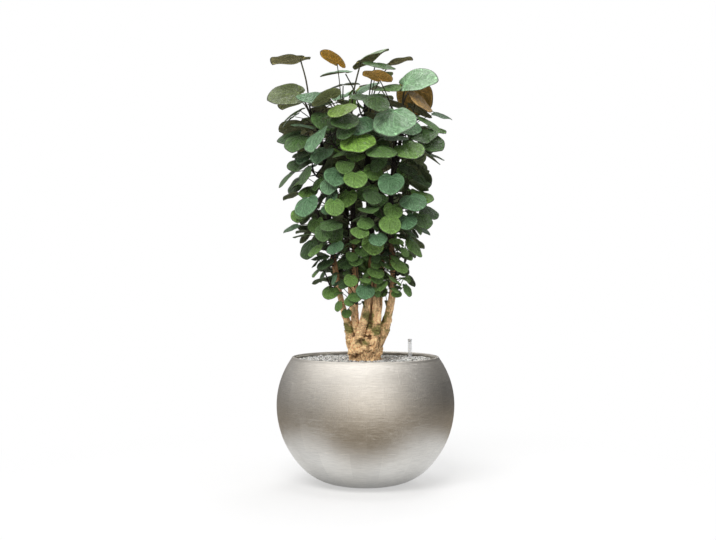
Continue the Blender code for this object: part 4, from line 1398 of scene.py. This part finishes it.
def make_wood(stems):
    """One skin, then shared out between the stump and its stems, with the same shading across."""
    skin = melt(wood_cage(stems))
    shading_depths = carve(skin)
    names = ["stump"] + ["stem_" + stem.name for stem in stems]
    lines = KDTree(len(stems) * (LINE_STEPS + 1))
    for k, stem in enumerate(stems):
        for i in range(LINE_STEPS + 1):
            lines.insert(along(stem.route, i / LINE_STEPS), k + 1)
    lines.balance()
    owner = [0 if face.center.z < LIMB_TOP_Z else lines.find(face.center)[1] for face in skin.polygons]
    material = bark_look()
    for k, name in enumerate(names):
        faces = [face for face, one in zip(skin.polygons, owner) if one == k]
        used = sorted({i for face in faces for i in face.vertices})
        where = {i: n for n, i in enumerate(used)}
        mesh = bpy.data.meshes.new(name + "_bark")
        mesh.from_pydata([skin.vertices[i].co for i in used], [],
                         [[where[i] for i in face.vertices] for face in faces])
        mesh.attributes.new("relief_shading", "FLOAT", "POINT").data.foreach_set("value", [shading_depths[i] for i in used])
        mesh.materials.append(material)
        mesh.shade_smooth()
        mesh.normals_split_custom_set_from_vertices([skin.vertices[i].normal for i in used])
        show(name + "_bark", mesh, replaced=[name])


# Leaves

# Fine and plain blades: lines from the hub to the margin, and rings
FINE = (40, 7)
PLAIN = (24, 4)
VEINS = 7
HUB_SHARE = (1 - NOTCH) * (1 - HOLD)
EDGE_THICKNESS = 0.0005
MIDDLE_THICKNESS = 0.0011

# The outline: two slow swells, the notch and a slight point at the tip
LOBE = 0.015
SMALL_LOBE = 0.008
NOTCH_SPREAD = 0.20
POINT = 0.02
POINT_SPREAD = 0.12
BLADE_ASPECTS = (0.95, 1.04)
RING_EASE = 0.85

# The relief, in shares of the width: pads between the veins, a wavy margin and a fold
QUILT = 0.144
WAVE = 0.028
SMALL_WAVE = 0.011
FOLDS = (-0.03, 0.10)
DOME_SHARES = (0.8, 1.2)

# Stalks: sides and rings, and how much one arches, thickens and tapers
FINE_STALK = (7, 12)
PLAIN_STALK = (5, 8)
STALK_ARCH = 0.03
STALK_STOUTNESS = (0.80, 1.05)
STALK_TAPER = 0.25
FOOT_SWELL = 0.7
FOOT_LENGTH = 0.008
TWIG_STEPS = 20

# First random seeds: single leaves, shoots with room for their leaves, and the leaves added here
SINGLE_SEED = 100
SHOOT_LEAF_SEED = 1000
SHOOT_SEED_STEP = 20
EXTRA_SEED = 3000

# Leaves that only this script adds: kind, what shapes one, how many, first seed, tries, detail, and the
# share of painted shade that darkens them
EXTRA_KINDS = (
    ("tuft_leaves", tuft_leaf, TUFT_LEAVES, TUFT_SEED, TRIES, FINE, 0.0),
    ("top_leaves", top_leaf, TOP_LEAVES, TOP_SEED, TRIES, FINE, 0.0),
    ("low_leaves", low_leaf, LOW_LEAVES, LOW_SEED, TRIES, PLAIN, 0.0),
    ("inner_leaves", inner_leaf, INNER_LEAVES, INNER_SEED, INNER_TRIES, PLAIN, 0.55),
)


def leaf_faces(lines, rings):
    """Faces of a blade: the top's fan and rings, the same underneath, and the rim; and their slots."""
    def ring(s, a, sheet):
        return sheet * (1 + rings * lines) + 1 + (s - 1) * lines + a % lines

    faces = []
    slots = []
    under_hub = 1 + rings * lines
    for a in range(lines):
        faces.append((0, ring(1, a, 0), ring(1, a + 1, 0)))
        faces.append((under_hub, ring(1, a + 1, 1), ring(1, a, 1)))
        slots += [0, 1]
        for s in range(1, rings):
            faces.append((ring(s, a, 0), ring(s + 1, a, 0), ring(s + 1, a + 1, 0), ring(s, a + 1, 0)))
            faces.append((ring(s, a, 1), ring(s, a + 1, 1), ring(s + 1, a + 1, 1), ring(s + 1, a, 1)))
            slots += [0, 1]
        faces.append((ring(rings, a, 0), ring(rings, a, 1), ring(rings, a + 1, 1), ring(rings, a + 1, 0)))
        slots.append(0)
    return faces, slots


LEAF_FACES = {detail: leaf_faces(*detail) for detail in (FINE, PLAIN)}


def swell(turns, chance):
    """A wave that starts anywhere."""
    return np.sin(turns + chance.uniform(0, 6))


def add_blade(surface, leaf, chance, tints, detail):
    """A round, notched, quilted blade, with a gently wavy margin and a thickness."""
    lines, rings = detail
    half = leaf.width / 2
    hub = np.array([0.0, -HUB_SHARE * half])
    turn = 2 * math.pi * np.arange(lines) / lines
    radius = 1 + LOBE * swell(2 * turn, chance) + SMALL_LOBE * swell(5 * turn, chance)
    radius -= NOTCH * np.exp(-(np.abs(turn - math.pi) / NOTCH_SPREAD) ** 2)
    radius += POINT * np.exp(-(np.sin(turn / 2) / POINT_SPREAD) ** 2)
    aspect = chance.uniform(*BLADE_ASPECTS)
    rim = np.stack([-np.sin(turn) * radius * half * aspect, np.cos(turn) * radius * half], axis=1)
    share = (np.arange(1, rings + 1) / rings) ** RING_EASE
    flat = hub + share[:, None, None] * (rim - hub)[None]
    flat = np.concatenate([hub[None], flat.reshape(-1, 2)])
    reach = np.concatenate([[0.0], np.repeat(share, lines)])
    x, y = flat[:, 0], flat[:, 1]
    around = np.arctan2(x, y)
    quilt = np.abs(np.sin(np.arctan2(x, y - hub[1]) * VEINS / 2)) - 0.6
    z = -BLADE_DOME * (np.hypot(x, y) / half) ** 2 * chance.uniform(*DOME_SHARES)
    z += QUILT * quilt * reach * (1 - 0.85 * reach)
    z += reach ** 3 * (WAVE * swell(2 * around, chance) + SMALL_WAVE * swell(5 * around, chance))
    z += chance.uniform(*FOLDS) * np.abs(x) / half
    z *= leaf.width
    thick = EDGE_THICKNESS + (MIDDLE_THICKNESS - EDGE_THICKNESS) * (1 - reach)
    top = np.stack([x, y, z + thick / 2], axis=1)
    under = np.stack([x, y, z - thick / 2], axis=1)
    place = np.array(leaf.blade)
    points = np.concatenate([top, under]) @ place[:3, :3].T + place[:3, 3]
    uvs = np.concatenate([flat, flat]) / leaf.width + 0.5
    reach = np.concatenate([reach, reach])
    surface.add(points, *LEAF_FACES[detail], uvs, reach=reach, tint=tints[0], under=tints[1])


def add_stalk(surface, leaf, tints, detail):
    """A smooth stalk, stouter under a large blade, with a swollen foot."""
    route = leaf.stalk
    if len(route) == 2:
        start, end = route
        route = [start, start.lerp(end, 0.5) + Vector((0, 0, STALK_ARCH * (end - start).length)), end]
    sides, rings = FINE_STALK if detail == FINE else PLAIN_STALK
    points = [along(route, i / (rings - 1)) for i in range(rings)]
    least, more = STALK_STOUTNESS
    stout = STALK_RADIUS * (least + more * smooth_share(leaf.width, SMALL_LEAF, GREAT_LEAF))
    radii = []
    for i, point in enumerate(points):
        foot = math.exp(-((point - points[0]).length / FOOT_LENGTH) ** 2)
        radii.append(stout * (1.0 - STALK_TAPER * i / rings + FOOT_SWELL * foot))
    tube, faces, shares = sweep(points, radii, sides)
    surface.add(tube, faces, 2, reach=shares, tint=tints[0], under=tints[1])


def add_twig(surface, twig):
    """A knobbly twig that tapers a little."""
    points = [along(twig, i / TWIG_STEPS) for i in range(TWIG_STEPS + 1)]
    radii = [TWIG_RADIUS * (1.15 - 0.35 * i / TWIG_STEPS) * (1 + 0.10 * math.sin(i * 1.9))
             for i in range(TWIG_STEPS + 1)]
    tube, faces, _ = sweep(points, radii, 8)
    surface.add(tube, faces, 2, reach=0.0, tint=DEEP, under=DEEP)


def add_leaf(surface, leaf, seed, tints, detail=FINE, shade=0.0):
    chance = random.Random(seed)
    tints = tints or leaf_tints(leaf.blade.translation.z, chance, shade)
    add_blade(surface, leaf, chance, tints, detail)
    add_stalk(surface, leaf, tints, detail)


def make_foliage(stems):
    crown = Crown(stems)
    single = grow_marked(crown)
    single += grow_spiral(crown, SINGLE_LEAVES - len(single))
    shoots = [grow_shoot(crown, number) for number in range(SHOOTS)]
    looks = [leaf_look("leaf_top", "tint", 2.5, 0.20, 0.08, 1),
             leaf_look("leaf_underside", "under", 2.4, 0.38, 0.05, -1),
             stalk_look()]
    for number, leaf in enumerate(single):
        name = f"leaf_{number:02d}"
        surface = Surface()
        add_leaf(surface, leaf, SINGLE_SEED + number, TINTS.get((name, 0)))
        show(name + "_fine", surface.mesh(name + "_fine", looks), replaced=[name])
    for number, (name, twig, leaves) in enumerate(shoots):
        surface = Surface()
        add_twig(surface, twig)
        for k, leaf in enumerate(leaves):
            add_leaf(surface, leaf, SHOOT_LEAF_SEED + SHOOT_SEED_STEP * number + k, TINTS.get((name, k)))
        show(name + "_fine", surface.mesh(name + "_fine", looks), replaced=[name])
    for kind, shape, count, seed, tries, detail, shade in EXTRA_KINDS:
        leaves = grow_extra(crown, shape, count, seed, tries)
        for stem in stems:
            surface = Surface()
            for k, (carrier, leaf) in enumerate(leaves):
                if carrier == stem.name:
                    tints = TUFT_TINTS if kind == "tuft_leaves" else TINTS.get((kind, k))
                    add_leaf(surface, leaf, EXTRA_SEED + k, tints, detail, shade)
            if surface.count:
                piece = f"{kind}_{stem.name}"
                show(piece, surface.mesh(piece, looks))


# Studio

FLOOR_HALF = 12.0
FILL_LEVEL = 0.36
ROOM_LEVEL = 0.04
LEFT_WALL_LEVEL = 0.045
WHITE = (1.0, 1.0, 1.0)
COOL_LIGHT = (1.0, 0.99, 0.975)
WARM_LIGHT = (1.0, 0.93, 0.83)

# Soft lights that only polished metal mirrors: direction, brightness and how narrow each one is
GLOWS = (((-0.26, -0.06, 0.96), 1.42, 2.9), ((0.14, -0.95, 0.28), 1.20, 6.2))

# The floor as metal mirrors it, a painted reflection: pale near the planter and lighter at the front
# (painted light), and dim from an edge that bulges at the front (painted shade)
NEAR_FLOOR = colour(224, 227, 230)
FAR_FLOOR_SHADE = colour(134, 124, 109)
DIM_FROM = 0.44
DIM_TO = 0.58
FRONT_BULGE = 0.245
FRONT_PAINTED_LIGHT = 0.16

# Lamps: name, place, aim, size, power, and whether metal mirrors it
SOFTBOXES = (
    ("front_softbox", (-0.9, -2.8, 2.9), (0.0, 0.0, 0.5), (2.2, 1.6), 88, False),
    ("overhead_softbox", (0.2, 0.3, 3.6), (0.0, 0.0, 0.5), (2.4, 2.4), 42, True),
    ("back_softbox", (1.0, 3.0, 2.0), (0.0, 0.0, 0.6), (1.8, 1.8), 30, False),
)

CAMERA_PLACE = (-0.021, -3.13, 0.600)
LENS = 55.8
SENSOR = 36.0


def studio_glow(look, vector):
    """How bright and warm the room is in polished metal, by direction."""
    x, y, z = look.parts(vector)
    level = look.span(x, 0.2, -0.9) * LEFT_WALL_LEVEL + ROOM_LEVEL
    for towards, peak, narrowness in GLOWS:
        aim = tuple(Vector(towards).normalized())
        dot = look.value("VectorMath", {0: vector, 1: aim}, "Value", operation="DOT_PRODUCT")
        level = look.math("EXPONENT", dot * narrowness - narrowness) * peak + level
    warmth = look.span(z, 0.55, 0.05) * look.span(y, -0.45, -0.95)
    return look.shaded(look.mix(warmth, COOL_LIGHT, WARM_LIGHT), level)


def make_floor():
    """A white floor that keeps the shadow; polished metal shows it as a painted reflection: bright near by
    and lighter at the front, with painted shade further off and a painted shadow at the planter's foot.
    """
    mesh = bpy.data.meshes.new("floor")
    bm = bmesh.new()
    bmesh.ops.create_grid(bm, x_segments=1, y_segments=1, size=FLOOR_HALF)
    bm.to_mesh(mesh)
    bm.free()
    floor = place_object("floor", mesh)
    look = new_look("floor")
    x, y, _ = look.parts(look.place())
    reach = look.length(x, y)
    away = look.value("VectorMath", {0: look.place()}, "Vector", operation="NORMALIZE")
    front = look.span(look.parts(away)[1] * -1.0, 0.5, 1.0)
    # Pale near the planter and lighter still towards the front: painted light in the floor that metal
    # mirrors
    near = look.shaded(NEAR_FLOOR, front * FRONT_PAINTED_LIGHT + 1.0)
    # Further off, beyond an edge that bulges at the front, the mirrored floor is dim: painted shade that
    # fades into the studio's glow far away
    distant = look.mix(look.span(reach, 0.5, 2.9), FAR_FLOOR_SHADE, studio_glow(look, away))
    mirrored = look.mix(look.span(front * FRONT_BULGE + reach, DIM_FROM, DIM_TO), near, distant)
    # Darker close round the planter's foot: a painted shadow in the floor that metal mirrors
    mirrored = look.shaded(mirrored, look.span(reach, 0.10, 0.235, 0.34, 1.0))
    mirror = look.ray("Glossy")
    shown = look.mix(mirror, WHITE, mirrored)
    lit = look.value("BsdfDiffuse", {"Color": shown})
    glow = look.value("Emission", {"Color": shown, "Strength": 1.0})
    share = look.math("MAXIMUM", look.span(reach, 0.35, 1.3, 0.45, 1.0), mirror)
    both = look.value("MixShader", {0: share * (1.0 - look.ray("Diffuse")), 1: lit, 2: glow})
    look.put(look.tree.nodes["Material Output"].inputs["Surface"], both)
    mesh.materials.append(look.owner)


def make_world():
    """White behind the object, a soft grey fill, and glows above and in front for metal to mirror."""
    world = bpy.data.worlds.new("studio")
    bpy.context.scene.world = world
    look = Look(world)
    shown = look.mix(look.ray("Glossy"), (FILL_LEVEL,) * 3, studio_glow(look, look.place("Generated")))
    straight = look.math("MAXIMUM", look.ray("Camera"), look.ray("Transmission"))
    background = look.tree.nodes["Background"]
    look.put(background.inputs["Color"], look.mix(straight, shown, WHITE))
    look.put(background.inputs["Strength"], 1.0)


def make_lights():
    """Flat rectangular lamps; those that aren't mirrored leave the metal to the studio's glow."""
    for name, place, aim, size, power, mirrored in SOFTBOXES:
        light = bpy.data.lights.new(name, "AREA")
        light.shape = "RECTANGLE"
        light.size, light.size_y = size
        light.energy = power
        lamp = place_object(name, light, place)
        lamp.rotation_euler = (Vector(aim) - Vector(place)).to_track_quat("-Z", "Y").to_euler()
        lamp.visible_glossy = mirrored


def make_camera():
    lens = bpy.data.cameras.new("camera")
    lens.lens = LENS
    lens.sensor_width = SENSOR
    camera = place_object("camera", lens, CAMERA_PLACE)
    camera.rotation_euler = (math.radians(90), 0.0, 0.0)
    bpy.context.scene.camera = camera


def main():
    stems = [Stem(*row) for row in STEM_ROUTES]
    make_camera()
    make_planter()
    make_gravel()
    paint_hidden_nodes()
    make_gauge()
    make_wood(stems)
    make_foliage(stems)
    make_floor()
    make_world()
    make_lights()
    bpy.context.scene.view_settings.view_transform = "Standard"


main()
